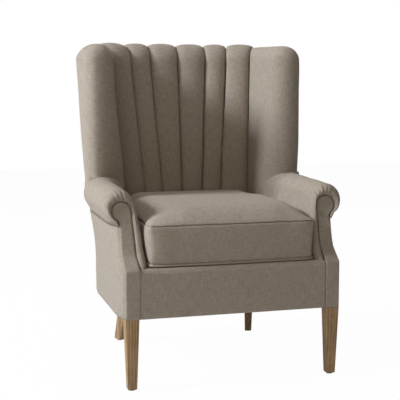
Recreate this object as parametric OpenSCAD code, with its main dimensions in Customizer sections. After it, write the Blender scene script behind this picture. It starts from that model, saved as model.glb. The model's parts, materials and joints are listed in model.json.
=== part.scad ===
// Wingback lounge chair: a fan of sewn channels on the inside back runs out into two padded
// wings over rolled arms, with a loose seat cushion, on four wooden legs.
// Lengths are in millimetres. The chair faces -Y, and the origin is the middle of its footprint
// on the floor.

/* [Overall] */
// Height of the channels' tops above the floor
chair_h = 1070; // [1000:1:1160]
// Width of the base over its sides
base_w = 711; // [650:1:770]
// Distance from the apron's face to the middle crease at the cushion's top
seat_depth = 645; // [590:1:700]

/* [Base] */
// Height of the base's lower edge above the floor
leg_h = 217; // [170:1:250]
// Height of the base's front, from its lower edge to the shoulder under the arm
base_h = 145; // [125:1:170]
// How far the front corners stand inside the base's sides
front_draw = 15; // [10:1:20]
// How far the base's back stands behind the middle crease at the cushion's top
back_foot = 23; // [19:1:45]
// Reach of the rounded rear corner along the side
corner_d = 268; // [248:1:288]
// Reach of the rounded rear corner across the back
corner_w = 200; // [180:1:220]
// Length over which the side swells out behind the front corner
front_swell = 90; // [70:1:110]
// Radius of the apron's top front edge
apron_r = 18; // [12:1:24]
// Depth of the apron's padded top
apron_top_d = 75; // [65:1:90]

/* [Back] */
// How far the middle crease leans back by the top of the outside back
back_lean = 61; // [50:1:70]
// Thickness of the back at the top of the outside back
back_top_t = 82; // [76:1:90]
// Distance from a wing's inner face to the outer crease at the cushion's top
fan_low_gap = 9; // [5:1:14]
// The same distance near the wing's top
fan_high_gap = 15; // [10:1:20]
// How far the outer creases stand ahead of the middle one
fan_wrap = 45; // [35:1:52]
// How far a channel swells out from its creases
channel_rise = 22; // [14:1:24]
// How far a channel's top stands above its creases
scallop_rise = 12; // [8:1:15]
// Height of the rolled crest above the outside back
crest_h = 60; // [50:1:70]
// Thickness of a channel at its creases
channel_t = 8; // [6:1:9]

/* [Wings] */
// How far the wings overhang the base's sides
wing_overhang = 20.5; // [16:0.5:26]
// How far each wing flares out towards its top
wing_flare = 4; // [1:1:8]
// How far the wings stand ahead of the middle crease at the cushion's top
wing_d = 215; // [205:1:225]
// Distance from the wing's front back to its outer seam
wing_seam = 75; // [70:1:78]
// Thickness of a wing just above the cushion
wing_low_t = 131; // [126:1:136]
// Thickness of a wing near its top
wing_high_t = 99; // [92:1:105]
// Depth of the wing's rolled front on its inner side
wing_roll_d = 60; // [50:1:66]
// Height of the wing's domed front above the outside back
wing_dome_h = 55; // [46:1:60]

/* [Arms] */
// Height of the arm roll's top above the base's shoulder, at its scroll
arm_above = 234; // [220:1:250]
// How far the arm roll rises from its scroll to the wing
arm_rise = 10; // [4:1:14]
// How far the arm rolls overhang the base's sides
arm_overhang = 31.5; // [28:0.5:37]
// Radius of the arm roll
roll_r = 49; // [46:1:52]
// How far the scroll is set back behind the apron
arm_setback = 95; // [80:1:105]
// Thickness of an arm at the deck
arm_low_t = 69.5; // [66:0.5:72]
// Width of the arm's front facing
facing_w = 44; // [41:1:46]
// Radius of the facing's scroll head
head_r = 29; // [26:1:31]
// Thickness of the facing
facing_t = 9; // [7:1:10]

/* [Seat cushion] */
// Gap between the cushion and an arm
cushion_gap = 7; // [5:1:12]
// Gap between the cushion and a wing
cushion_back_gap = 10; // [8:1:20]
// Distance from the cushion's rear corners back to the middle crease's depth
cushion_clear = 53; // [49:1:70]
// Distance from the apron's face to the cushion's front
cushion_front = 18; // [14:1:26]
// Height of the cushion's boxing
cushion_t = 118; // [100:1:125]
// Height of the crown above the boxing
cushion_crown = 44; // [30:1:50]
// Corner radius of the cushion in plan
cushion_r = 34; // [24:1:44]
// How far the cushion's front bows out at its middle
cushion_bow = 4; // [1:1:8]
// How far the cushion's back bows out to follow the channels
cushion_back_bow = 14; // [6:1:18]
// How far the boxing draws in at its seams
cushion_draw = 4; // [2:1:5]
// Thickness of the cushion's cover and wrap
cushion_wrap = 12; // [8:1:15]
// How far the zip stops short of the cushion's rear corners
zip_inset = 25; // [15:1:60]
// Height of the zip and its slot
zip_h = 8; // [6:1:10]
// Thickness of the zip
zip_t = 4; // [3:0.5:5]

/* [Frame] */
// Thickness of the seat rails
rail_t = 30; // [26:1:34]
// How far the seat rails' tops lie below the shoulder
rail_drop = 27; // [24:1:32]
// Depth of the arm stump from front to back, up to the shoulder
stump_d = 80; // [70:1:90]
// Depth of the arm stump at its scroll head
stump_top_d = 36; // [30:1:42]
// Thickness of the back and wing posts
post_t = 24; // [20:1:25]
// Depth of the wing post from front to back
wing_post_d = 38; // [30:1:40]
// Height of the crest, wing and lower back rails
cross_rail_h = 45; // [35:1:55]
// Thickness of the arm board
board_t = 20; // [16:1:22]
// Height of the corner blocks
block_h = 40; // [30:1:50]
// Leg of the front corner blocks
block_leg = 50; // [40:1:60]

/* [Legs] */
// Width of a front leg at its top
leg_top = 42; // [38:1:46]
// Width of a front leg at its foot
leg_foot = 28; // [24:1:34]
// Width of a rear leg at its top
rear_top_w = 36; // [32:1:40]
// Depth of a rear leg at its top
rear_top_d = 62; // [52:1:70]
// Width of a rear leg at its foot
rear_foot_w = 24; // [20:1:28]
// Depth of a rear leg at its foot
rear_foot_d = 39; // [32:1:46]
// How far a rear leg's top stands inside the base's side
rear_leg_in = 133.5; // [130:0.5:145]
// How far a rear leg's top stands ahead of the base's back
rear_leg_ahead = 133; // [125:1:145]
// How far the rear foot stands behind the leg's top
rear_rake = 70; // [40:1:90]
// How far the rear foot stands outside the leg's top
rear_splay = 22; // [10:1:30]
// Turn of the rear legs in plan, in degrees
rear_turn = 19; // [10:1:25]
// Thickness of a nylon glide
glide_t = 3; // [2:0.5:5]
// Diameter of the leg bolts
bolt_d = 8; // [6:1:10]
// Length of a leg bolt inside the leg
bolt_in_leg = 45; // [35:1:60]
// Length of a leg bolt inside the frame
bolt_in_frame = 60; // [50:1:70]

/* [Suspension] */
// Number of sinuous springs
spring_count = 5; // [4:1:6]
// Diameter of the spring wire
spring_wire = 4; // [3:0.2:4.4]
// Centre radius of a spring's bends
spring_bend_r = 13; // [11:1:15]
// Width of a spring across its bends
spring_w = 56; // [46:1:62]
// Thickness of a spring clip
clip_t = 2; // [1.5:0.5:2.5]
// Width of a spring clip
clip_w = 20; // [16:1:24]
// Diameter of the tie cord
tie_d = 3; // [2:0.5:3.5]
// Thickness of the deck cloth
cloth_t = 2; // [1:0.5:3]
// Width of the back webbing
web_w = 50; // [40:1:60]
// Thickness of the back webbing
web_t = 2; // [1.5:0.5:3]

/* [Covers] */
// Thickness of the outside covers
cover_t = 6; // [4:0.5:7]
// Thickness of the dust cover
dust_t = 1; // [0.8:0.1:2]
// Rounding of the arm pad's front rim
arm_rim = 6; // [4:0.5:7]
// Clearance between neighbouring pieces
fit = 0.3; // [0.2:0.1:0.4]
// Wider clearance where padding passes the frame
gap = 3; // [2.5:0.1:3.5]

/* [Hidden] */

fabric_colour = "#8f8474";
shade_fabric = "#857a6b";
wood_colour = "#a3835c";
frame_wood = "#d3b98c";

// Widths and depths that follow the base and the seat
base_front_w = base_w - 2 * front_draw;
wing_w = base_w + 2 * wing_overhang;
arm_w = base_w + 2 * arm_overhang;
arm_gap = base_front_w - 2 * arm_low_t;
wing_low_gap = wing_w - 2 * wing_low_t;
wing_high_gap = wing_w - 2 * wing_high_t;
fan_low_w = wing_low_gap - 2 * fan_low_gap;
fan_high_w = wing_high_gap - 2 * fan_high_gap;
cushion_w = arm_gap - 2 * cushion_gap;
cushion_back_w = wing_low_gap - 2 * cushion_back_gap;
crest_depth = seat_depth + back_lean;
chair_d = crest_depth + back_top_t;
base_d = seat_depth + back_foot;
side_len = base_d - corner_d;
wing_front = seat_depth - wing_d;
cushion_d = seat_depth - cushion_clear - cushion_front;

// Heights that several pieces share
shoulder_z = leg_h + base_h;
rail_h = base_h - rail_drop;
rail_top = leg_h + rail_h;
arm_h = shoulder_z + arm_above;
roll_z = arm_h - roll_r;
roll_x = arm_w / 2 - roll_r;
under_z = roll_z - roll_r * 60 / 49;
over_z = arm_h + arm_rise;
back_top = chair_h - scallop_rise - crest_h;
flare_z = mix(over_z, back_top, 0.75);
deck_z = shoulder_z + apron_r * 0.4;
seat_z = deck_z + fit + cushion_t + cushion_crown;

// Depths of the layers, from the outside in
frame_out = cover_t + fit;
frame_in = frame_out + post_t;
pad_out = frame_in + fit;
web_in = pad_out + web_t + fit;

// Stations round the rear corner, from the end of the side at 1 through the end of the corner
// at 2 to the middle of the back at 3
crease_stations = [3, 2.4, 1.9, 1.5];
seam_station = crease_stations[3] + (crease_stations[2] - crease_stations[3]) / 3;
post_station = crease_stations[3] + (crease_stations[2] - crease_stations[3]) * 2 / 3;
corner_stations = [1, 1.17, 1.34, 1.5];
back_stations = [seam_station, post_station, 1.9, 2.4, 3];

// Creases as shares of the fan's half width, from the middle one outwards
crease_low_shares = [0, 0.33, 0.623, 1];
crease_high_shares = [0, 0.397, 0.69, 1];
wrap_power = 2.8;

// The facing's lean: share of the height from shoulder to roll, and share of the setback
lean_shares = [[0, 0], [0.13, 0.31], [0.23, 0.52], [0.47, 0.72], [0.69, 0.85], [0.9, 0.95], [1, 1]];
lean_height_shares = [0.06, 0.13, 0.23, 0.36, 0.52];
swell_shares = [0, 0.15, 0.35, 0.65, 1];

function mix(a, b, t) = a + (b - a) * t;
function within(t) = max(0, min(1, t));
function unit(v) = v / norm(v);
function flip(p) = [-p[0], p[1]];
function lift(p, z) = [p[0], p[1], z];
function lift_all(points, z) = [for (p = points) lift(p, z)];
function reversed(list) = [for (i = [len(list) - 1:-1:0]) list[i]];

// Half width of the outside at a height
function side_half(z) = lookup(z, [
    [shoulder_z, base_w / 2],
    [over_z, wing_w / 2],
    [flare_z, wing_w / 2],
    [back_top, wing_w / 2 + wing_flare]
]);

// How far back the rear corner starts, and the outside back, at a height
wing_turn = mix(side_len, chair_d, 0.62);
function turn_y(z) = lookup(z, [[rail_top, side_len], [back_top, wing_turn]]);
function rear_y(z) = lookup(z, [[rail_top, base_d], [back_top, chair_d]]);

// How far back the arm's front lies at a height
function front_y(z) = arm_setback * lookup((z - shoulder_z) / (roll_z - shoulder_z), lean_shares);

// Outside half width at a height, behind the swelling front corner
function side_x(z, y) =
    let (t = within((y - front_y(z)) / front_swell))
    mix(base_front_w / 2, side_half(z), 1 - (1 - t) * (1 - t));

// Point on the rear part of the outside at a height and station, set in by a depth
function shell(z, s, depth) =
    let (cx = side_half(z) - corner_w, ty = turn_y(z), angle = 90 * (s - 1))
    s <= 2
    ? [cx + (corner_w - depth) * cos(angle), ty + (rear_y(z) - ty - depth) * sin(angle)]
    : [cx * (3 - s), rear_y(z) - depth];

// Outside half width at a height and any depth of the chair
function outer_x(z, y) =
    let (ty = turn_y(z), share = within((y - ty) / (rear_y(z) - ty)))
    side_x(z, y) - corner_w * (1 - sqrt(1 - share * share));

// Heights at which the outside bends, between two heights
function levels(low, high) = concat(
    [low],
    [for (z = [shoulder_z, under_z, over_z, flare_z]) if (z > low + fit && z < high - fit) z],
    [high]
);

// Both halves of the back, from one station to its mirror image
function across_back(stations, z, depth) = concat(
    [for (s = stations) shell(z, s, depth)],
    [for (i = [len(stations) - 2:-1:0]) flip(shell(z, stations[i], depth))]
);

// A ring goes along one wall and comes back along the other
function ring(wall, other_wall) = concat(wall, reversed(other_wall));

// Closed solid through rings, with end faces between facing points of the two walls. The
// diagonals all climb outwards from the middle, so the faces of neighbouring solids agree.
function outwards(p) = abs(p[0]) - p[1] * 0.4;
module loft(rings) {
    n = len(rings[0]);
    last = (len(rings) - 1) * n;
    points = [for (r = rings) each r];
    sides = [
        for (j = [0:len(rings) - 2], i = [0:n - 1])
        let (a = j * n + i, b = j * n + (i + 1) % n)
        each outwards(points[a]) < outwards(points[b])
            ? [[a, b, b + n], [a, b + n, a + n]]
            : [[a, b, a + n], [b, b + n, a + n]]
    ];
    ends = [
        for (i = [0:n / 2 - 2])
        let (j = n - 1 - i)
        each [
            [i, j, j - 1], [i, j - 1, i + 1],
            [last + i, last + j - 1, last + j], [last + i, last + i + 1, last + j - 1]
        ]
    ];
    faces = concat(sides, ends);
    swept = [for (f = faces) cross(points[f[0]], points[f[1]]) * points[f[2]]];
    inward = swept * [for (f = faces) 1] < 0;
    polyhedron(points, [for (f = faces) inward ? f : reversed(f)], convexity = 10);
}

// Sets the chair, which is drawn from the apron's face backwards, on the middle of its footprint
module place() {
    translate([0, -chair_d / 2, 0]) children();
}

module left() {
    mirror([1, 0, 0]) children();
}

// Legs

front_leg_x = base_front_w / 2 - leg_top / 2;
front_leg_y = leg_top / 2;
rear_leg_top = [base_w / 2 - rear_leg_in, base_d - rear_leg_ahead];
rear_leg_foot = rear_leg_top + [rear_splay, rear_rake];

// Wall that tapers from one width at the top to another at the foot
module tapered_slab(top, foot, height, width) {
    rotate([90, 0, 0])
        linear_extrude(width, center = true)
            polygon([[-foot / 2, 0], [foot / 2, 0], [top / 2, height], [-top / 2, height]]);
}

module bolt_bore(depth) {
    translate([0, 0, -depth]) cylinder(d = bolt_d + fit, h = depth + fit, $fn = 48);
}

module front_leg() {
    color(wood_colour)
        place()
            translate([front_leg_x, front_leg_y, 0])
                difference() {
                    intersection() {
                        translate([0, 0, glide_t]) tapered_slab(leg_top, leg_foot, leg_h - glide_t, leg_top);
                        translate([0, 0, glide_t])
                            rotate([0, 0, 90])
                                tapered_slab(leg_top, leg_foot, leg_h - glide_t, leg_top);
                    }
                    translate([0, 0, leg_h]) bolt_bore(bolt_in_leg);
                }
}

// Section of the rear leg between its top, at 0, and its foot, at 1
function rear_leg_ring(t) =
    let (
        c = mix(rear_leg_top, rear_leg_foot, t),
        w = mix(rear_top_w, rear_foot_w, t) / 2,
        d = mix(rear_top_d, rear_foot_d, sqrt(t)) / 2,
        ca = cos(rear_turn),
        sa = sin(rear_turn)
    )
    [
        for (p = [[-w, -d], [w, -d], [w, d], [-w, d]])
        [c[0] + p[0] * ca + p[1] * sa, c[1] - p[0] * sa + p[1] * ca, mix(leg_h, glide_t, t)]
    ];

module rear_leg() {
    color(wood_colour)
        place()
            difference() {
                loft([for (t = [0, 0.15, 0.35, 0.65, 1]) rear_leg_ring(t)]);
                translate([rear_leg_top[0], rear_leg_top[1], leg_h]) bolt_bore(bolt_in_leg);
            }
}

module leg_bolt(x, y, above) {
    translate([x, y, leg_h - bolt_in_leg + fit])
        cylinder(d = bolt_d, h = bolt_in_leg + above - 2 * fit, $fn = 48);
}

nut_d = bolt_d * 2;
nut_h = bolt_d * 0.8;

module leg_bolts() {
    color("silver")
        place()
            for (side = [-1, 1]) {
                leg_bolt(side * front_leg_x, front_leg_y, bolt_in_frame);
                leg_bolt(side * rear_leg_top[0], rear_leg_top[1], block_h + bolt_d * 1.5);
                translate([side * rear_leg_top[0], rear_leg_top[1], leg_h + block_h])
                    difference() {
                        cylinder(d = nut_d, h = nut_h, $fn = 48);
                        translate([0, 0, -fit]) cylinder(d = bolt_d, h = nut_h + 2 * fit, $fn = 48);
                    }
            }
}

module leg_glides() {
    color("#3a3a3a")
        place()
            for (side = [-1, 1]) {
                translate([side * front_leg_x, front_leg_y, 0])
                    cylinder(d = leg_foot * 0.75, h = glide_t, $fn = 48);
                translate([side * rear_leg_foot[0], rear_leg_foot[1], 0])
                    cylinder(d = rear_foot_w * 0.8, h = glide_t, $fn = 48);
            }
}

// Seat frame

facing_x1 = base_front_w / 2;
facing_x0 = facing_x1 - facing_w;
stump_x0 = facing_x0 + gap;
stump_x1 = facing_x1 - frame_out - fit;
stump_y0 = facing_t + 2 * fit;
side_rail_x1 = base_w / 2 - frame_out;
side_rail_x0 = side_rail_x1 - rail_t;

module front_rail() {
    color(frame_wood)
        place()
            translate([-stump_x0, stump_y0, leg_h]) cube([2 * stump_x0, rail_t, rail_h]);
}

module side_rail() {
    color(frame_wood)
        place()
            translate([side_rail_x0, stump_y0 + stump_d, leg_h])
                cube([rail_t, side_len - stump_y0 - stump_d, rail_h]);
}

all_stations = concat(corner_stations, back_stations);

module back_rail() {
    color(frame_wood)
        place()
            translate([0, 0, leg_h])
                linear_extrude(rail_h)
                    polygon(ring(
                        across_back(all_stations, leg_h, frame_out),
                        across_back(all_stations, leg_h, frame_out + rail_t)
                    ));
}

module front_block() {
    linear_extrude(block_h)
        polygon([
            [stump_x0, stump_y0 + rail_t],
            [stump_x0, stump_y0 + rail_t + block_leg],
            [stump_x0 - block_leg, stump_y0 + rail_t]
        ]);
}

// The rear block fills the corner of the frame over the rear leg
module rear_block() {
    difference() {
        linear_extrude(block_h)
            polygon(concat(
                [for (s = all_stations) if (s < 2) shell(leg_h, s, frame_out + rail_t)],
                [[rear_leg_top[0] - rear_top_d, rear_leg_top[1] - rear_top_w]]
            ));
        translate([rear_leg_top[0], rear_leg_top[1], block_h + fit]) bolt_bore(block_h + 2 * fit);
    }
}

module corner_blocks() {
    color(frame_wood)
        place()
            translate([0, 0, leg_h])
                for (side = [0, 1])
                    mirror([side, 0, 0]) {
                        front_block();
                        rear_block();
                    }
}

// Arm frame: the stump is the sawn front post with its scroll head

head_x = facing_x1 - 9.5 * facing_w / 44;
head_z = roll_z - roll_r * 17 / 49;
stump_back = stump_y0 + stump_d;
stump_head_back = arm_setback + stump_y0 + stump_top_d;

module stump_front_outline() {
    union() {
        polygon([
            [stump_x0, leg_h], [stump_x1, leg_h], [stump_x1, head_z],
            [head_x - head_r / 2, head_z], [stump_x0, head_z - head_r]
        ]);
        translate([head_x, head_z]) circle(r = head_r - gap, $fn = 64);
    }
}

module stump_side_outline() {
    polygon(concat(
        [[stump_back, leg_h], [stump_y0, leg_h]],
        [for (p = lean_shares)
            [stump_y0 + arm_setback * p[1], mix(shoulder_z, roll_z, p[0])]],
        [[stump_y0 + arm_setback, arm_h], [stump_head_back, arm_h],
            [stump_head_back, under_z], [stump_back, shoulder_z]]
    ));
}

module arm_stump() {
    color(frame_wood)
        place()
            difference() {
                intersection() {
                    translate([0, stump_head_back + fit, 0])
                        rotate([90, 0, 0])
                            linear_extrude(stump_head_back + 2 * fit) stump_front_outline();
                    translate([stump_x0 - head_r, 0, 0])
                        rotate([90, 0, 90]) linear_extrude(3 * head_r + facing_w) stump_side_outline();
                }
                translate([front_leg_x, front_leg_y, leg_h + bolt_in_frame]) bolt_bore(bolt_in_frame + fit);
            }
}

board_x0 = stump_x0;
board_x1 = roll_x + roll_r * 0.5;
board_z0 = roll_z - roll_r * 42 / 49;
board_y0 = stump_head_back + 3 * fit;
wing_post_y0 = wing_front + wing_seam - fit - wing_post_d - gap;
wing_post_y1 = wing_post_y0 + wing_post_d;

module arm_board() {
    color(frame_wood)
        place()
            translate([board_x0, board_y0, board_z0])
                cube([board_x1 - board_x0, arm_end + fit - board_y0, board_t]);
}

// Wing frame

// Outer face of the wing post at a height, which clears the cover as it turns the corner
function wing_post_x1(z) = outer_x(z, wing_post_y1) - frame_out - cover_t;

function wing_post_ring(z) =
    let (x1 = wing_post_x1(z), x0 = x1 - post_t, y0 = z > over_z ? wing_post_y0 : arm_end + 2 * fit)
    [[x0, y0, z], [x1, y0, z], [x1, wing_post_y1, z], [x0, wing_post_y1, z]];

module wing_post() {
    color(frame_wood)
        place()
            loft([
                for (z = concat([rail_top], wing_low_levels, [over_z + fit], wing_high_levels))
                wing_post_ring(z)
            ]);
}

function wing_rail_wall(z, depth) = concat(
    [[side_half(z) - depth, wing_front + wing_seam + fit]],
    [for (s = corner_stations) shell(z, s, depth)]
);

module wing_rail() {
    color(frame_wood)
        place()
            loft([
                for (z = [back_top - cross_rail_h, back_top])
                lift_all(ring(wing_rail_wall(z, frame_out), wing_rail_wall(z, frame_in)), z)
            ]);
}

// Back frame

module back_post() {
    color(frame_wood)
        place()
            loft([
                for (z = levels(rail_top, back_top - cross_rail_h))
                lift_all([
                    shell(z, seam_station, frame_out), shell(z, post_station, frame_out),
                    shell(z, post_station, frame_in), shell(z, seam_station, frame_in)
                ], z)
            ]);
}

module crest_rail() {
    stations = concat([corner_stations[3]], back_stations);
    color(frame_wood)
        place()
            loft([
                for (z = [back_top - cross_rail_h, back_top])
                lift_all(ring(
                    across_back(stations, z, frame_out), across_back(stations, z, frame_in)
                ), z)
            ]);
}

lower_rail_z = shoulder_z + 2 * cross_rail_h;

module lower_back_rail() {
    stations = [for (s = back_stations) if (s >= post_station) s];
    color(frame_wood)
        place()
            loft([
                for (z = levels(lower_rail_z, lower_rail_z + cross_rail_h))
                lift_all(ring(
                    across_back(stations, z, frame_out), across_back(stations, z, frame_in)
                ), z)
            ]);
}

// Seat suspension

spring_z = rail_top + clip_t + fit + spring_wire / 2;
spring_y0 = stump_y0 + rail_t / 2;
spring_y1 = base_d - frame_out - rail_t / 2;
spring_bends = floor((spring_y1 - spring_y0) / (2 * spring_bend_r)) - 1;
spring_leg = spring_w / 2 - spring_bend_r;
spring_tail = (spring_y1 - spring_y0 - spring_bends * 2 * spring_bend_r) / 2;
spring_pitch = cushion_back_w * 0.95 / spring_count;
spring_xs = [for (i = [1:spring_count]) (i - (spring_count + 1) / 2) * spring_pitch];

// One sinuous spring: straight runs across the seat joined by half-round bends
module spring() {
    for (i = [0:spring_bends]) {
        y = spring_tail + i * 2 * spring_bend_r;
        translate([-spring_leg, y, 0])
            rotate([0, 90, 0]) cylinder(d = spring_wire, h = 2 * spring_leg, $fn = 24);
        if (i < spring_bends)
            translate([(i % 2 == 0 ? 1 : -1) * spring_leg, y + spring_bend_r, 0])
                rotate([0, 0, i % 2 == 0 ? -90 : 90])
                    rotate_extrude(angle = 180, $fn = 48)
                        translate([spring_bend_r, 0]) circle(d = spring_wire, $fn = 24);
    }
}

module seat_springs() {
    color("#6f6f6f")
        place()
            for (x = spring_xs)
                translate([x, spring_y0, spring_z]) spring();
}

// Each clip is a strip nailed to the rail and folded over the spring's end run
module clip() {
    rise = spring_wire + 2 * fit;
    translate([-clip_w / 2, 0, 0])
        rotate([90, 0, 90])
            linear_extrude(clip_w)
                polygon([
                    [-rise, 0], [rise + clip_t, 0], [rise + clip_t, rise + 2 * clip_t],
                    [-rise, rise + 2 * clip_t], [-rise, rise + clip_t],
                    [rise, rise + clip_t], [rise, clip_t], [-rise, clip_t]
                ]);
}

module spring_clips() {
    first_y = spring_y0 + spring_tail;
    last_y = first_y + spring_bends * 2 * spring_bend_r;
    color("#8a8a8a")
        place()
            for (x = spring_xs) {
                translate([x, first_y, rail_top]) mirror([0, 1, 0]) clip();
                translate([x, last_y, rail_top]) clip();
            }
}

module spring_ties() {
    color("#5b5b5b")
        place()
            for (t = [1, 2])
                translate([
                    -side_rail_x0, mix(spring_y0, side_len, t / 2.4),
                    spring_z - (spring_wire + tie_d) / 2 - fit
                ])
                    rotate([0, 90, 0]) cylinder(d = tie_d, h = 2 * side_rail_x0, $fn = 24);
}

cloth_z = spring_z + spring_wire / 2 + clip_t + 2 * fit;

// Plan of the deck at a height, kept clear of the posts
function deck_outline(z, inset) = concat(
    [[facing_x0 - inset, apron_top_d + fit + inset], [facing_x0 - inset, wing_front]],
    [for (s = [1.34, 1.5, seam_station, post_station, 1.9, 2.4])
        shell(z, s, web_in + inset + (s < 1.6 ? facing_w / 2 : 0))]
);

module deck_plan(inset) {
    right_side = deck_outline(rail_top, inset);
    polygon(concat(right_side, [for (p = reversed(right_side)) flip(p)]));
}

module deck_cloth() {
    color("#4b4640")
        place() translate([0, 0, cloth_z]) linear_extrude(cloth_t) deck_plan(fit);
}

module deck_pad() {
    pad_z = cloth_z + cloth_t + fit;
    color(shade_fabric)
        place() translate([0, 0, pad_z]) linear_extrude(deck_z - pad_z) deck_plan(fit);
}

// Back suspension and padding

module back_webbing() {
    low = lower_rail_z + cross_rail_h;
    high = back_top - cross_rail_h;
    color("#6b5c48")
        place()
            for (t = [0.1, 0.37, 0.64, 0.91])
                loft([
                    for (z = levels(mix(low, high, t) - web_w / 2, mix(low, high, t) + web_w / 2))
                    lift_all(ring(
                        across_back(back_stations, z, pad_out),
                        across_back(back_stations, z, pad_out + web_t)
                    ), z)
                ]);
}

// Crease line i of the fan, from 0 at the left wing to 6 at the right wing, at a height
function fan_share(z) = max(0, (z - seat_z) / (back_top - seat_z));
function crease(i, z) =
    let (
        t = fan_share(z),
        k = abs(i - 3),
        share = mix(crease_low_shares[k], crease_high_shares[k], t)
    )
    [
        sign(i - 3) * share * mix(fan_low_w, fan_high_w, t) / 2,
        mix(seat_depth, crest_depth, t) - fan_wrap * pow(share, wrap_power)
    ];
function behind_crease(i, z, depth) =
    let (p = shell(z, crease_stations[abs(i - 3)], depth))
    i < 3 ? flip(p) : p;

// A channel climbs the inside back and rolls over the crest: a point of crease i, set in by a
// depth, at a height and a turn over the crest
function crease_path(i, z, turn, depth) =
    let (
        front = crease(i, z),
        rear = behind_crease(i, z, 0),
        half = norm(front - rear) / 2,
        p = (front + rear) / 2 + unit(front - rear) * (half - depth) * cos(turn)
    )
    [p[0], p[1], z + (crest_h - depth) * sin(turn)];
function crease_normal(i, z, turn) =
    let (u = unit(crease(i, z) - behind_crease(i, z, 0)))
    [u[0] * cos(turn), u[1] * cos(turn), sin(turn)];

channel_z0 = deck_z + 2 * fit;
channel_levels = [
    channel_z0, seat_z, over_z, mix(over_z, flare_z, 0.33), mix(over_z, flare_z, 0.66), flare_z, back_top
];
channel_turns = [20, 40, 60, 80, 100, 120, 140, 160, 177];
channel_path = concat(
    [for (z = channel_levels) [z, 0]],
    [for (turn = channel_turns) [back_top, turn]]
);
round_steps = [0:22.5:180];

function channel_swell(turn) =
    turn < 90 ? mix(channel_rise, scallop_rise, sin(turn)) : scallop_rise * pow(sin(turn), 2);

function channel_ring(i, z, turn) =
    let (
        width = norm(crease(i + 1, z) - crease(i, z)),
        edge = fit / 2 / width,
        normal = unit(crease_normal(i, z, turn) + crease_normal(i + 1, z, turn)),
        shares = [for (a = round_steps) mix(edge, 1 - edge, (1 - cos(a)) / 2)]
    )
    ring(
        [for (j = [0:len(shares) - 1])
            mix(crease_path(i, z, turn, 0), crease_path(i + 1, z, turn, 0), shares[j])
            + normal * channel_swell(turn) * sin(j * 180 / (len(shares) - 1))],
        [for (t = shares)
            mix(crease_path(i, z, turn, channel_t), crease_path(i + 1, z, turn, channel_t), t)]
    );

module back_channel(number) {
    color(number % 2 == 0 ? fabric_colour : shade_fabric)
        place()
            mirror([number < 4 ? 1 : 0, 0, 0])
                loft([
                    for (p = channel_path)
                    channel_ring(number < 4 ? 6 - number : number - 1, p[0], p[1])
                ]);
}

// Points across the back pad: three steps to each channel
pad_steps = [for (i = [0:5], q = [0, 1, 2]) [i, q / 3]];
pad_ends = concat(pad_steps, [[5, 1]]);

function behind_channel(i, q, z, depth) =
    let (a = crease_stations[abs(i - 3)], b = crease_stations[abs(i - 2)])
    min(a, b) < crease_stations[2]
    ? shell(z, mix(a, b, q), depth)
    : mix(shell(z, a, depth), shell(z, b, depth), q);

pad_depth = channel_t + 2 * fit;
function pad_front(z, turn) = [
    for (p = pad_ends)
    mix(crease_path(p[0], z, turn, pad_depth), crease_path(p[0] + 1, z, turn, pad_depth), p[1])
];
function pad_rear(z, depth) = [
    for (p = pad_ends)
    let (point = behind_channel(p[0], p[1], z, depth))
    lift(p[0] < 3 ? flip(point) : point, z)
];
function pad_crown_rear(z, turn) = pad_front(z, 180 - turn);

module back_pad() {
    crown = [for (turn = [177, 160, 140, 120, 100]) 180 - turn];
    color(shade_fabric)
        place()
            loft(concat(
                [for (z = concat(wing_low_levels, wing_high_levels)) if (z >= lower_rail_z)
                    ring(pad_front(z, 0), pad_rear(z, web_in))],
                [for (turn = crown) ring(pad_front(back_top, turn), pad_crown_rear(back_top, turn))]
            ));
}

// Wings

wing_low_levels = [channel_z0, lower_rail_z, under_z, seat_z, over_z];
wing_high_levels = [for (z = channel_levels) if (z > over_z) z];
wing_low_x = wing_low_gap / 2;
wing_high_x = wing_high_gap / 2;
wing_nose_x = roll_x - gap;
wing_nose_out_d = wing_seam * 0.95;

function wing_in_x(z) = lookup(z, [[seat_z, wing_low_x], [over_z, wing_low_x + gap],
    [flare_z, mix(wing_low_x, wing_high_x, 0.9)], [back_top, wing_high_x]]);

// Quarter round from one point to another in steps of an angle
function quarter(from, to, angles) = [
    for (a = angles) [mix(to[0], from[0], cos(a)), mix(from[1], to[1], sin(a))]
];

nose_angles = [0, 22.5, 45, 67.5];
nose_inset = wing_roll_d * 0.15;
arm_end = wing_front + nose_inset;

// Point of the rolled nose's inner quarter at a height and angle
function nose_point(z, a) = [
    mix(wing_nose_x, wing_in_x(z), cos(a)),
    mix(wing_front + wing_roll_d, wing_front, sin(a))
];

// The wing's visible outline at a height: from the outer crease forwards, round the nose and
// back to the outer seam
function wing_wall(z) =
    let (
        c = crease(6, z) + [5 * fit, 0],
        x0 = wing_in_x(z),
        x1 = side_half(z),
        y0 = wing_front,
        inner = [x0, y0 + wing_roll_d]
    )
    concat(
        [c, mix(c, inner, 0.35), mix(c, inner, 0.7)],
        [for (a = nose_angles) nose_point(z, a)],
        [for (p = reversed(quarter([x1, y0 + wing_nose_out_d], [wing_nose_x, y0],
            concat(nose_angles, [90])))) p],
        [[x1, y0 + wing_seam - fit]]
    );

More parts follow.
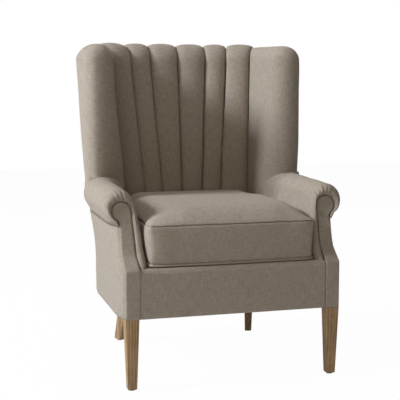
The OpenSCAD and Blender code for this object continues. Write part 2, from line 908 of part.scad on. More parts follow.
// The hidden wall round the wing post
function wing_back_wall(z) =
    let (
        x1 = wing_post_x1(z) - post_t - fit,
        rung = shell(z, crease_stations[3], web_in) + [7 * fit, -fit],
        edges = [wing_post_x1(z) + fit, side_half(z) - cover_t],
        nose_y = wing_post_y0 - fit,
        seam_y = wing_front + wing_seam - fit
    )
    concat(
        [rung],
        [for (t = [0.35, 0.7])
            let (y = mix(rung[1], wing_post_y1, t))
            [min(outer_x(z, y) - pad_out - 2 * gap, mix(rung[0], x1, t * 1.3)), y]],
        [[x1, wing_post_y1], [x1, mix(wing_post_y1, nose_y, 0.35)],
            [x1, mix(wing_post_y1, nose_y, 0.7)], [x1, nose_y]],
        [for (t = [0.25, 0.5, 0.75]) [mix(x1, edges[0], t), nose_y]],
        [for (t = [0, 0.5, 1]) [mix(edges[0], edges[1], t), mix(nose_y, seam_y, t)]]
    );

// Below the arm's top the wing's nose stops at the arm pad's end
function low_wing_wall(z) =
    let (
        c = crease(6, z) + [5 * fit, 0],
        inner = nose_point(z, 0),
        x1 = wing_post_x1(z) - post_t - fit,
        y0 = arm_end + fit,
        turn = asin(1 - (nose_inset + fit) / wing_roll_d),
        tip = nose_point(z, turn)
    )
    concat(
        [c, mix(c, inner, 0.35), mix(c, inner, 0.7)],
        [for (k = [0:3]) nose_point(z, turn * k / 3)],
        [for (k = [1:6]) [mix(tip[0], x1, k / 6), y0]]
    );
function low_wing_back_wall(z) =
    let (
        x1 = wing_post_x1(z) - post_t - fit,
        y0 = arm_end + fit,
        rung = shell(z, crease_stations[3], web_in) + [7 * fit, -fit],
        y1 = min(wing_post_y1, mix(y0, rung[1], 0.55))
    )
    concat(
        [rung],
        [for (t = [0.35, 0.7])
            let (y = mix(rung[1], y1, t))
            [min(outer_x(z, y) - pad_out - 2 * gap, mix(rung[0], x1, t * 1.3)), y]],
        [for (k = [0:9]) [x1, mix(y1, y0 + nose_inset, k / 9)]]
    );

// The dome over the wing pulls in towards a spine from the crest to the nose
function wing_top_wall(z) =
    let (
        y0 = wing_front + wing_seam - fit,
        stations = [1.5, 1.34, 1.17, 1],
        far = turn_y(z),
        x1 = side_half(z)
    )
    concat(
        [for (s = stations) shell(z, s, 0)],
        [for (t = [1:8]) [x1, mix(far, y0, t / 8)]]
    );
function wing_spine(z, i) =
    let (
        crest = (crease(6, z) + shell(z, crease_stations[3], 0)) / 2,
        nose = [(wing_in_x(z) + side_half(z)) / 2, wing_front + wing_roll_d]
    )
    mix(crest, nose, min(1, i / 6));
function wing_dome(turn) =
    let (
        top_wall = wing_top_wall(back_top),
        last = len(top_wall) - 1,
        walls = [wing_wall(back_top), top_wall],
        domed = [
            for (wall = walls)
            [for (i = [0:last])
                lift(
                    mix(wing_spine(back_top, i), wall[i], cos(turn)),
                    back_top + fit / 2 + mix(crest_h, wing_dome_h, min(1, i / 6)) * sin(turn)
                )]
        ]
    )
    ring(domed[0], domed[1]);

// A ring drawn in a little, so that a solid ends inside the next one
function tucked(points) =
    let (middle = [for (p = points) 1] * points / len(points))
    [for (p = points) mix(p, middle, 0.01)];

module wing_pad() {
    high = concat([over_z + fit], wing_high_levels);
    color(fabric_colour)
        place()
            union() {
                loft(concat(
                    [for (z = wing_low_levels)
                        lift_all(ring(low_wing_wall(z), low_wing_back_wall(z)), z)],
                    [lift_all(tucked(ring(low_wing_wall(over_z), low_wing_back_wall(over_z))),
                        over_z + 2 * fit)]
                ));
                loft(concat(
                    [for (z = high) lift_all(ring(wing_wall(z), wing_back_wall(z)), z)],
                    [lift_all(tucked(ring(wing_wall(back_top), wing_back_wall(back_top))),
                        back_top + fit)]
                ));
                loft([for (turn = [0, 20, 40, 60, 80]) wing_dome(turn)]);
            }
}

// Arms

// Inner face of the arm, which leans out to meet the roll
function arm_inner_x(z) =
    mix(arm_gap / 2, roll_x - roll_r, within((z - deck_z) / (roll_z - deck_z)));

arm_height_shares = [0, 0.2, 0.45, 0.7, 0.9];
roll_angles = [165:-25:-35];
arm_foot_z = deck_z + fit;

function arm_wall(y, trim) =
    let (
        rise = arm_rise * within((y - arm_setback) / (arm_end - arm_setback)),
        r = roll_r + rise / 2 - trim,
        cz = roll_z + rise / 2
    )
    concat(
        [for (t = arm_height_shares)
            let (z = mix(arm_foot_z, cz, t)) [arm_inner_x(z) + trim, z]],
        [for (a = roll_angles) [roll_x + r * cos(a), cz + r * sin(a)]],
        [[max(roll_x + r * cos(-60), side_x(under_z, y) + gap * 2 / 3), cz + r * sin(-60)],
            [max(side_x(under_z, y), facing_x1 + gap * 4 / 3), under_z]]
    );

// Hollow round the facing and the scroll head, and hollow round the arm board behind it
hollow_x = facing_x0 - fit;
hollow_r = (head_r + fit) / cos(12.5) + fit;
function head_wall() = concat(
    [for (t = [0, 0.2, 0.45, 0.7]) [hollow_x, mix(arm_foot_z, roll_z, t)]],
    [[hollow_x, head_z - head_r / 2]],
    [for (a = roll_angles)
        [head_x + hollow_r * cos(a), head_z + hollow_r * sin(a)]],
    [[head_x + hollow_r * cos(-60), head_z + hollow_r * sin(-60)],
        [facing_x1 + fit, under_z]]
);
function board_wall(y) =
    let (top = board_z0 + board_t + fit, x1 = board_x1 + fit)
    concat(
        [for (t = [0, 0.2, 0.45, 0.7]) [hollow_x, mix(arm_foot_z, roll_z, t)]],
        [[hollow_x, board_z0], [hollow_x, top]],
        [for (t = [1:7]) [mix(hollow_x, x1, t / 8), top]],
        [[x1, top], [x1, board_z0 - fit]],
        [[side_x(under_z, y) - cover_t - fit, under_z]]
    );

function arm_ring(outer, inner, fronts) = [
    for (p = ring(outer, inner))
    [p[0], fronts ? front_y(p[1]) : 0, p[1]]
];
function set_y(points, y) = [for (p = points) [p[0], p[1] + y, p[2]]];

module arm_pad() {
    body_y = [board_y0 - fit, mix(board_y0, arm_end, 0.5), arm_end];
    color(fabric_colour)
        place()
            loft(concat(
                [set_y(arm_ring(arm_wall(arm_setback, arm_rim * 0.6), head_wall(), true), 0),
                    set_y(arm_ring(arm_wall(arm_setback, 0), head_wall(), true), arm_rim)],
                [set_y(arm_ring(arm_wall(board_y0, 0), head_wall(), false), board_y0 - 2 * fit)],
                [for (y = body_y) set_y(arm_ring(arm_wall(y, 0), board_wall(y), false), y)]
            ));
}

// Facing: the panel between base and scroll that leans back over the shoulder

function facing_left_x(z) = z < head_z
    ? mix(facing_x0, head_x - head_r, within((z - shoulder_z) / (head_z - shoulder_z)))
    : head_x - sqrt(max(0, head_r * head_r - (z - head_z) * (z - head_z)));
function facing_right_x(z) =
    let (reach = head_r * head_r - (z - head_z) * (z - head_z))
    z > head_z
    ? head_x + sqrt(max(0, reach))
    : max(facing_x1, head_x + sqrt(max(0, reach)));

facing_edge_shares = [0, 0.12, 0.5, 0.88, 1];
function facing_ring(z) =
    let (x0 = facing_left_x(z), x1 = facing_right_x(z), y = front_y(z))
    lift_all(
        ring(
            [for (t = facing_edge_shares)
                [mix(x0, x1, t), y + (t == 0 || t == 1 ? facing_t * 0.3 : 0)]],
            [for (t = facing_edge_shares) [mix(x0, x1, t), y + facing_t]]
        ), z
    );

module arm_facing() {
    lean = [for (t = concat([0], lean_height_shares, [0.69])) mix(shoulder_z, roll_z, t)];
    head = [for (a = [-60, -35, -10, 15, 40, 60, 78]) head_z + head_r * sin(a)];
    color(shade_fabric)
        place()
            loft([for (z = concat([leg_h], lean, [for (z = head) if (z > lean[6] + fit) z]))
                facing_ring(z)]);
}

// Outside covers

cover_z1 = under_z - fit;

function outside_arm_wall(z, depth) = concat(
    [for (t = swell_shares)
        let (y = front_y(z) + max(facing_t + fit, front_swell * t))
        [side_x(z, y) - depth, y]],
    [for (s = corner_stations) shell(z, s, depth)],
    [shell(z, seam_station - fit / corner_w, depth)]
);

module outside_arm() {
    lean = [for (t = lean_height_shares) mix(shoulder_z, roll_z, t)];
    color(fabric_colour)
        place()
            loft([
                for (z = concat([leg_h, rail_top, shoulder_z], lean, [cover_z1]))
                lift_all(ring(outside_arm_wall(z, 0), outside_arm_wall(z, cover_t)), z)
            ]);
}

// The arm roll dies away round the rear corner as a swelling of the outside wing
roll_fade_shares = [1, 0.9, 0.7, 0.5, 0.3, 0.15, 0];
rear_roll_z = roll_z + arm_rise / 2;
rear_roll_r = roll_r + arm_rise / 2;
function roll_swell(z) =
    let (reach = rear_roll_r * rear_roll_r - (z - rear_roll_z) * (z - rear_roll_z))
    max(0, roll_x + sqrt(max(0, reach)) - side_half(z));

function outside_wing_wall(z, y0, depth, swelling) =
    let (
        points = concat(
            [[side_half(z) - depth, y0], [side_half(z) - depth, mix(y0, turn_y(z), 0.5)]],
            [for (s = corner_stations) shell(z, s, depth)],
            [shell(z, seam_station - fit / corner_w, depth)]
        ),
        outward = [for (s = [1, 1, 1, 1.17, 1.34, 1.5, seam_station])
            [cos(90 * (s - 1)), sin(90 * (s - 1))]]
    )
    [for (i = [0:len(points) - 1])
        points[i] + outward[i] * swelling * roll_fade_shares[i]];

module outside_wing() {
    low = [for (a = [-55, -40, -20, 0, 20, 35, 50]) rear_roll_z + rear_roll_r * sin(a)];
    low_y = arm_end + fit;
    high_y = wing_front + wing_seam;
    color(fabric_colour)
        place()
            loft(concat(
                [for (z = concat([under_z], low, [over_z]))
                    lift_all(ring(
                        outside_wing_wall(z, low_y, 0, roll_swell(z)),
                        outside_wing_wall(z, low_y, cover_t, 0)
                    ), z)],
                [for (z = [over_z + fit, flare_z, back_top])
                    lift_all(ring(
                        outside_wing_wall(z, high_y, 0, 0),
                        outside_wing_wall(z, high_y, cover_t, 0)
                    ), z)]
            ));
}

module outside_back() {
    color(fabric_colour)
        place()
            loft([
                for (z = concat([leg_h, rail_top], levels(shoulder_z, back_top - fit)))
                lift_all(ring(
                    across_back(back_stations, z, 0), across_back(back_stations, z, cover_t)
                ), z)
            ]);
}

apron_z1 = shoulder_z + apron_r * 0.2;

module front_apron() {
    color(fabric_colour)
        place()
            translate([-facing_x0 + fit, 0, 0])
                rotate([90, 0, 90])
                    linear_extrude(2 * (facing_x0 - fit))
                        polygon(concat(
                            [[0, leg_h]],
                            [for (a = [180:-10:90])
                                [apron_r * (1 + cos(a)), apron_z1 - apron_r * (1 - sin(a))]],
                            [[apron_top_d, apron_z1], [apron_top_d, rail_top + clip_t * 4.5],
                                [stump_y0, rail_top + clip_t * 4.5], [stump_y0 - fit, leg_h]]
                        ));
}

module leg_opening() {
    translate([front_leg_x, front_leg_y]) square(leg_top + 2 * fit, center = true);
    polygon([
        for (p = rear_leg_ring(0))
        let (c = [rear_leg_top[0], rear_leg_top[1]], q = [p[0], p[1]])
        q + unit(q - c) * fit * 5
    ]);
}

module dust_cover() {
    right_side = concat(
        [[facing_x1 - frame_out, stump_y0], [side_half(leg_h) - frame_out, stump_y0 + front_swell]],
        [for (s = concat(corner_stations, back_stations)) shell(leg_h, s, frame_out)]
    );
    color("#2b2a28")
        place()
            translate([0, 0, leg_h - dust_t])
                linear_extrude(dust_t)
                    difference() {
                        polygon(concat(
                            right_side, [for (p = reversed(right_side)) if (p[0] > fit) flip(p)]
                        ));
                        leg_opening();
                        mirror([1, 0]) leg_opening();
                    }
}

// Seat cushion

cushion_z0 = deck_z + fit;
cushion_z1 = cushion_z0 + cushion_t;
cushion_turn = wing_front - cushion_front - 6 * cushion_r / 34;

// Plan outline of the cushion, drawn in by a depth: front corners are round, and the sides step
// in between the wings
function cushion_outline(depth) =
    let (
        w = cushion_w / 2 - depth,
        b = cushion_back_w / 2 - depth,
        y0 = cushion_front + depth,
        y1 = cushion_front + cushion_d - depth,
        r = cushion_r,
        turn = cushion_front + cushion_turn
    )
    concat(
        [[w * 0.33, y0 - cushion_bow * 0.9], [w * 0.66, y0 - cushion_bow * 0.5]],
        [for (a = [-90, -60, -30, 0]) [w - r + r * cos(a), y0 + r + r * sin(a)]],
        [[w, mix(y0 + r, turn - w + b, 0.5)], [w, turn - w + b]],
        [[mix(w, b, 0.5), turn - (w - b) * 0.35], [b, turn + gap]],
        [[b, mix(turn, y1 - r, 0.5)]],
        [for (a = [0, 30, 60, 90]) [b - r + r * cos(a), y1 - r + r * sin(a)]],
        [[b * 0.5, y1 + cushion_back_bow * 0.7], [b * 0.2, y1 + cushion_back_bow]]
    );
function cushion_ring(depth, z) =
    let (right_side = cushion_outline(depth))
    lift_all(ring(right_side, [for (p = right_side) flip(p)]), z);

// Solid of the cushion inside a skin: rings up the boxing, drawn in at the seams, then a crown
// that closes in towards the middle
crown_shares = [0.05, 0.13, 0.25, 0.42, 0.65];

module cushion_body(skin) {
    seam_low = cushion_z0 + cushion_t * 0.06;
    middle = (cushion_z0 + cushion_z1) / 2;
    centre = [0, cushion_front + cushion_d * 0.85, 0];
    boxing = [
        [cushion_draw * 3, cushion_z0 + skin], [cushion_draw, seam_low + skin],
        [cushion_draw * 0.3, mix(seam_low, middle, 0.5)], [0, middle],
        [cushion_draw * 0.3, mix(middle, cushion_z1, 0.5)], [cushion_draw, cushion_z1 - skin]
    ];
    rim = cushion_ring(cushion_draw + skin, cushion_z1 - skin);
    crown = [
        for (t = crown_shares)
        let (rise = cushion_crown * (1 - pow(1 - t, 4)) / (1 - pow(1 - crown_shares[4], 4)))
        [for (p = rim) [mix(p[0], centre[0], t), mix(p[1], centre[1], t), p[2] + rise]]
    ];
    loft(concat([for (r = boxing) cushion_ring(r[0] + skin, r[1])], crown));
}

module seat_cushion_cover() {
    color(fabric_colour)
        place()
            difference() {
                cushion_body(0);
                cushion_body(cushion_wrap);
                cushion_slot(fit);
            }
}

module seat_cushion_foam() {
    color("#e6dcc0")
        place() cushion_body(cushion_wrap + fit);
}

zip_w = cushion_back_w - 2 * zip_inset;

// Slot along the rear boxing that the zip closes
module cushion_slot(clear) {
    translate([
        -zip_w / 2 - clear, cushion_front + cushion_d - 2 * cushion_wrap,
        (cushion_z0 + cushion_z1) / 2 - zip_h / 2 - clear
    ])
        cube([
            zip_w + 2 * clear, 2 * cushion_wrap + cushion_back_bow + zip_t, zip_h + 2 * clear
        ]);
}

module cushion_zip() {
    color("#7d7364")
        place()
            difference() {
                intersection() {
                    cushion_body(0);
                    cushion_slot(0);
                }
                cushion_body(zip_t);
            }
}

left() front_leg();  // leg_front_left
front_leg();  // leg_front_right
left() rear_leg();  // leg_rear_left
rear_leg();  // leg_rear_right
leg_bolts();
leg_glides();
front_rail();
left() side_rail();  // side_rail_left
side_rail();  // side_rail_right
back_rail();
corner_blocks();
left() arm_stump();  // arm_stump_left
arm_stump();  // arm_stump_right
left() arm_board();  // arm_board_left
arm_board();  // arm_board_right
left() wing_post();  // wing_post_left
wing_post();  // wing_post_right
left() wing_rail();  // wing_rail_left
wing_rail();  // wing_rail_right
left() back_post();  // back_post_left
back_post();  // back_post_right
lower_back_rail();
crest_rail();
seat_springs();
spring_clips();
spring_ties();
deck_cloth();
deck_pad();
back_webbing();
back_pad();
back_channel(1);  // back_channel_1
back_channel(2);  // back_channel_2
back_channel(3);  // back_channel_3
back_channel(4);  // back_channel_4
back_channel(5);  // back_channel_5
back_channel(6);  // back_channel_6
left() wing_pad();  // wing_pad_left
wing_pad();  // wing_pad_right
left() arm_pad();  // arm_pad_left
arm_pad();  // arm_pad_right
left() arm_facing();  // arm_facing_left
arm_facing();  // arm_facing_right
left() outside_arm();  // outside_arm_left
outside_arm();  // outside_arm_right
left() outside_wing();  // outside_wing_left
outside_wing();  // outside_wing_right
outside_back();
front_apron();
dust_cover();
seat_cushion_cover();
seat_cushion_foam();
cushion_zip();
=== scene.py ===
"""Dresses the wingback chair: linen over its channels, wings, arms, panels and cushion, and oak legs.

Shapes are worked out in millimetres from the apron's face backwards, as the solids are, and turned
into metres in the chair's own frame when a mesh is made.
"""

import json
import math

import bmesh
import bpy
import numpy as np
from bpy.props import FloatProperty, FloatVectorProperty, IntProperty, PointerProperty
from bpy.types import Operator, Panel, PropertyGroup
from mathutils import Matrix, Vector, noise
from mathutils.bvhtree import BVHTree
from mathutils.kdtree import KDTree


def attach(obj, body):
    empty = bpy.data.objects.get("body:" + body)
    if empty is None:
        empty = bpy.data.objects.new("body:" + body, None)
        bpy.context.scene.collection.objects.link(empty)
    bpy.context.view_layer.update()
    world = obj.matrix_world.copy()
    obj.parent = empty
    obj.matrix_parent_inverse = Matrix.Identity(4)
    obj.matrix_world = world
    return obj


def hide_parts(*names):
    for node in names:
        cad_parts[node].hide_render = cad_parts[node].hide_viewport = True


bl_info = {
    "name": "Wingback Chair Upholstery",
    "version": (1, 0, 0),
    "blender": (4, 5, 0),
    "location": "View3D > Sidebar > Chair",
    "description": "Covers the chair's frame with channels, wings, rolled arms and a loose cushion",
    "category": "Object",
}

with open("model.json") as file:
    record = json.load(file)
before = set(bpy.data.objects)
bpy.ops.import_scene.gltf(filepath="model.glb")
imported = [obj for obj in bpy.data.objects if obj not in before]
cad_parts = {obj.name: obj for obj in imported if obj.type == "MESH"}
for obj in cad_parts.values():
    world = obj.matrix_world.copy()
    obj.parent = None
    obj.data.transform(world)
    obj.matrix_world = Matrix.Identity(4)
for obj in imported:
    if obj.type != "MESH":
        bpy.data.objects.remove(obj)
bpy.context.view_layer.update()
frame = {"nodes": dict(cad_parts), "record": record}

# Sizes of the chair in millimetres, and turns in degrees
LEG_H = 217.0
SHOULDER_Z = 362.0
RAIL_TOP = 335.0
ARM_RISE = 10.0
ROLL_R = 49.0
ROLL_Z = 547.0
ROLL_X = 338.0
UNDER_Z = 487.0
OVER_Z = 606.0
BACK_TOP = 998.0
FLARE_Z = 900.0
APRON_R = 18.0
APRON_Z = 366.2
APRON_TOP_D = 75.0
DECK_Z = 369.2
DECK_UNDER_Z = 346.6
CUSHION_Z0 = 369.5
CUSHION_Z1 = 487.5
CROWN = 44.0
SEAT_Z = 531.5
FRONT_HANG = 3.2
CUSHION_HALF = 264.0
CUSHION_REAR_HALF = 235.0
CUSHION_FRONT = 18.0
CUSHION_REAR = 592.0
CUSHION_TURN = 424.0
CHAIR_D = 788.0
BASE_D = 668.0
SIDE_LEN = 400.0
CORNER_W = 200.0
BASE_FRONT = 340.5
FRONT_SWELL = 90.0
SETBACK = 95.0
SEAT_DEPTH = 645.0
CREST_DEPTH = 706.0
FAN_LOW = 236.0
FAN_HIGH = 262.0
FAN_WRAP = 45.0
CREST_H = 54.5
CHANNEL_T = 8.0
CHANNEL_RISE = 22.0
SCALLOP_RISE = 12.0
WING_FRONT = 430.0
WING_SEAM = 75.0
WING_CORNER = 457.0
WING_FACE = 429.0
WING_FACE_X = 335.0
WING_FULL = 3.5
WING_NOSE = 490.0
WING_SEAM_TOP = 95.0
WING_SEAM_Z = 930.0
PANEL_TOP = 1021.0
WING_ROLL = 60.0
WING_DOME = 51.0
WING_LOW_X = 245.0
WING_HIGH_X = 277.0
ARM_END = WING_FRONT + WING_ROLL * 0.15
FACING_X0 = 296.5
FACING_X1 = 340.5
FACING_T = 9.0
HEAD_R = 29.0
HEAD_X = 331.0
HEAD_Z = 530.0
ARM_GAP = 271.0
ARM_MIDDLE = (ROLL_X, 260.0, ROLL_Z - 20.0)
REAR_ROLL_R = ROLL_R + ARM_RISE / 2
REAR_ROLL_Z = ROLL_Z + ARM_RISE / 2
COVER_T = 6.0
PANEL_T = 4.0
FIT = 0.3
WEB_IN = 32.9
# Stations round the outside: 1 where the side starts to turn, 2 where the rear starts, 3 at its middle
CREASE_STATIONS = (3.0, 2.4, 1.9, 1.5)
SEAM_STATION = 1.6333
# Shares of the half width at which the creases lie, low and high on the back
LOW_SHARES = (0.0, 0.33, 0.623, 1.0)
HIGH_SHARES = (0.0, 0.397, 0.69, 1.0)
FRONT_LEG = (319.5, 21.0)
REAR_LEG = (222.0, 535.0)
REAR_FOOT = (244.0, 605.0)
REAR_LEG_TURN = 19.0
LEG_FOOT_Z = 3.0

# Where the lights point and the camera stands, in metres, and the camera's yaw, pitch and roll
CHAIR_MIDDLE = (0, 0, 0.55)
CAMERA_PLACE = (-0.86632, -3.08192, 0.88530)
CAMERA_TURN = (-15.6772, -6.4705, 0.071)
# Width of the sensor in millimetres, and the focal length and the picture's width in pixels
SENSOR_W = 36.0
FOCAL_PIXELS = 945.553
PICTURE_PIXELS = 400


def mix(a, b, t):
    return a + (b - a) * t


def within(t):
    return max(0.0, min(1.0, t))


def unit(v):
    return v / np.linalg.norm(v)


def curve(t, h, a, b, slope_a, slope_b):
    """Cubic between two values with their slopes, h apart, at a share of the way."""
    near = (1 + 2 * t) * (1 - t) ** 2 * a + t * (1 - t) ** 2 * h * slope_a
    return near + t * t * (3 - 2 * t) * b + t * t * (t - 1) * h * slope_b


def eased(knots, flat=True):
    """Smooth curve through (place, value) knots that never overshoots them."""
    xs = np.array([k[0] for k in knots], float)
    ys = np.array([k[1] for k in knots], float)
    rise = np.diff(ys) / np.diff(xs)
    slope = np.zeros(len(xs))
    for k in range(1, len(xs) - 1):
        if rise[k - 1] * rise[k] > 0:
            slope[k] = 2 / (1 / rise[k - 1] + 1 / rise[k])
    if not flat:
        slope[0], slope[-1] = rise[0], rise[-1]

    def value(x):
        x = min(max(x, xs[0]), xs[-1])
        k = min(int(np.searchsorted(xs, x, side="right")) - 1, len(xs) - 2)
        h = xs[k + 1] - xs[k]
        return curve((x - xs[k]) / h, h, ys[k], ys[k + 1], slope[k], slope[k + 1])

    return value


def lookup(x, knots):
    return float(np.interp(x, [k[0] for k in knots], [k[1] for k in knots]))


side_half = eased([(SHOULDER_Z, 355.5), (OVER_Z, 376.0), (FLARE_Z, 376.5), (BACK_TOP, 380.0)])
lean = eased(
    [(0, 0), (0.13, 0.31), (0.23, 0.52), (0.47, 0.72), (0.69, 0.85), (0.9, 0.95), (1, 1)], False
)
wing_in_x = eased([(SEAT_Z, WING_LOW_X), (OVER_Z, 248.0), (FLARE_Z, 273.8), (BACK_TOP, WING_HIGH_X)])


def turn_y(z):
    return lookup(z, [(RAIL_TOP, SIDE_LEN), (BACK_TOP, mix(SIDE_LEN, CHAIR_D, 0.62))])


def rear_y(z):
    return lookup(z, [(RAIL_TOP, BASE_D), (BACK_TOP, CHAIR_D)])


def front_y(z):
    return SETBACK * lean(within((z - SHOULDER_Z) / (ROLL_Z - SHOULDER_Z)))


def side_x(z, y):
    t = within((y - front_y(z)) / FRONT_SWELL)
    return mix(BASE_FRONT, side_half(z), 1 - (1 - t) ** 2)


def side_reach(z, y):
    """Half width of the outside at a height and depth, also where it turns to the rear."""
    ty = turn_y(z)
    share = within((y - ty) / (rear_y(z) - ty))
    return side_x(z, y) - CORNER_W * (1 - math.sqrt(1 - share * share))


def shell(z, s, depth=0.0):
    """Point on the rear part of the outside at a height and station, set in by a depth."""
    cx, ty = side_half(z) - CORNER_W, turn_y(z)
    if s > 2:
        return np.array([cx * (3 - s), rear_y(z) - depth])
    a = math.radians(90 * (s - 1))
    return np.array(
        [cx + (CORNER_W - depth) * math.cos(a), ty + (rear_y(z) - ty - depth) * math.sin(a)]
    )


def crease(i, z):
    t = max(0.0, (z - SEAT_Z) / (BACK_TOP - SEAT_Z))
    k = abs(i - 3)
    share = mix(LOW_SHARES[k], HIGH_SHARES[k], t)
    x = math.copysign(share * mix(FAN_LOW, FAN_HIGH, t), i - 3) if k else 0.0
    return np.array([x, mix(SEAT_DEPTH, CREST_DEPTH, t) - FAN_WRAP * share**2.8])


def behind_crease(i, z, depth=0.0):
    p = shell(z, CREASE_STATIONS[abs(i - 3)], depth)
    return p * (-1, 1) if i < 3 else p


def crease_path(i, z, turn, depth):
    """Point of a crease line as it climbs the inside back and rolls over the crest."""
    front, rear = crease(i, z), behind_crease(i, z)
    half = np.linalg.norm(front - rear) / 2
    a = math.radians(turn)
    p = (front + rear) / 2 + unit(front - rear) * (half - depth) * math.cos(a)
    return np.array([p[0], p[1], z + (CREST_H - depth) * math.sin(a)])


def crease_normal(i, z, turn):
    u = unit(crease(i, z) - behind_crease(i, z))
    a = math.radians(turn)
    return np.array([u[0] * math.cos(a), u[1] * math.cos(a), math.sin(a)])


def bend(points, places):
    """Smooth line through points, read at places counted in points."""
    p = np.asarray(points, float)
    ends = np.vstack([2 * p[0] - p[1], p, 2 * p[-1] - p[-2]])
    gap = np.linalg.norm(np.diff(ends, axis=0), axis=1).clip(1e-6)
    out = []
    for s in places:
        k = min(int(s), len(p) - 2)
        slopes = []
        for j in (k, k + 1):
            a, b = gap[j], gap[j + 1]
            left = (ends[j + 1] - ends[j]) / a
            right = (ends[j + 2] - ends[j + 1]) / b
            slopes.append((left * b + right * a) / (a + b))
        out.append(curve(s - k, gap[k + 1], p[k], p[k + 1], *slopes))
    return np.array(out)


def lift(points, z):
    return np.column_stack([points, np.full(len(points), float(z))])


# Meshes


def grid_normals(grid):
    across = np.gradient(grid, axis=1)
    along = np.gradient(grid, axis=0)
    n = np.cross(across, along)
    return n / np.linalg.norm(n, axis=2, keepdims=True).clip(1e-9)


def outward_normals(grid, inside):
    """Unit normals of a grid that point away from a place inside it."""
    n = grid_normals(grid)
    away = np.sum(n * (grid - np.asarray(inside, float)))
    return n if away > 0 else -n


def run_along(grid, axis):
    """Distance of each point of a grid from the first one of its column or its row."""
    run = np.cumsum(np.linalg.norm(np.diff(grid, axis=axis), axis=2), axis=axis)
    return np.concatenate([np.zeros_like(run.take([0], axis=axis)), run], axis=axis)


def edge_distances(grid, edges):
    """Distance of each point of a grid from the nearest of its named edges."""
    u, v = run_along(grid, 1), run_along(grid, 0)
    far = {"first": u, "last": u[:, -1:] - u, "low": v, "high": v[-1:] - v}
    return np.min([far[e] for e in edges], axis=0)


def roll_edges(grid, normals, edges, radius):
    """Turns the named edges of a panel in, as cloth that is folded under at a seam."""
    t = (1 - edge_distances(grid, edges) / radius).clip(0, 1)
    return grid - normals * (radius * (1 - np.sqrt(1 - (t * 0.98) ** 2)))[..., None]


def uneven(grid, normals, amount, size, seed):
    """Small rises and hollows of a stuffed surface."""
    shift = np.array(
        [[noise.noise(Vector(p) / size + Vector((seed, 0, 0))) for p in row] for row in grid]
    )
    return grid + normals * (shift * amount)[..., None]


def stuffed(grid, inside, amount, size, seed):
    return uneven(grid, outward_normals(grid, inside), amount, size, seed)


def cloth_coordinates(grid):
    """Metres across and along the cloth, measured from the grid's middle column."""
    middle = [grid.shape[1] // 2]
    u, v = run_along(grid, 1), run_along(grid, 0)[:, middle]
    return np.dstack([u - u[:, middle], np.repeat(v, grid.shape[1], axis=1)]) * 0.001


def to_frame(points):
    return (np.asarray(points, float) - (0, CHAIR_D / 2, 0)) * 0.001


def new_piece(name, mesh, material, body, nodes=()):
    """Puts a mesh in the scene as a piece of the chair."""
    ob = bpy.data.objects.new(name, mesh)
    bpy.context.scene.collection.objects.link(ob)
    mesh.materials.clear()
    mesh.materials.append(material)
    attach(ob, body)
    if nodes:
        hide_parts(*nodes)
    return ob


def read(items, key, width=1, kind=float):
    """One attribute of every item of a mesh, as a flat array."""
    values = np.empty(len(items) * width, kind)
    items.foreach_get(key, values)
    return values


def mesh_from(name, points, faces, cloth=None, mirrored=False):
    points = to_frame(points)
    if mirrored:
        points = points * (-1, 1, 1)
    mesh = bpy.data.meshes.new(name)
    mesh.from_pydata([tuple(p) for p in points], [], [tuple(f) for f in faces])
    if cloth is not None:
        layer = mesh.uv_layers.new(name="cloth")
        which = read(mesh.loops, "vertex_index", kind=int)
        layer.data.foreach_set("uv", np.asarray(cloth)[which].ravel())
    bm = bmesh.new()
    bm.from_mesh(mesh)
    bmesh.ops.remove_doubles(bm, verts=bm.verts, dist=1e-5)
    bmesh.ops.dissolve_degenerate(bm, edges=bm.edges, dist=1e-6)
    bmesh.ops.recalc_face_normals(bm, faces=bm.faces)
    bm.to_mesh(mesh)
    bm.free()
    mesh.polygons.foreach_set("use_smooth", [True] * len(mesh.polygons))
    mesh.update()
    return mesh


def skin(name, front, back, mirrored=False):
    """Closed mesh between a front grid and a back grid of the same size."""
    rows, cols = front.shape[:2]
    n = rows * cols
    at = np.arange(n).reshape(rows, cols)
    faces = []
    for i in range(rows - 1):
        for j in range(cols - 1):
            a, b, c, d = at[i, j], at[i, j + 1], at[i + 1, j + 1], at[i + 1, j]
            faces += [(a, b, c, d), (a + n, d + n, c + n, b + n)]
    rim = [*at[0, :-1], *at[:-1, -1], *at[-1, :0:-1], *at[:0:-1, 0]]
    for a, b in zip(rim, rim[1:] + rim[:1]):
        faces.append((a, a + n, b + n, b))
    cloth = cloth_coordinates(front).reshape(-1, 2)
    points = np.vstack([front.reshape(-1, 3), back.reshape(-1, 3)])
    return mesh_from(name, points, faces, np.vstack([cloth, cloth]), mirrored)


# Cloth, wood and metal


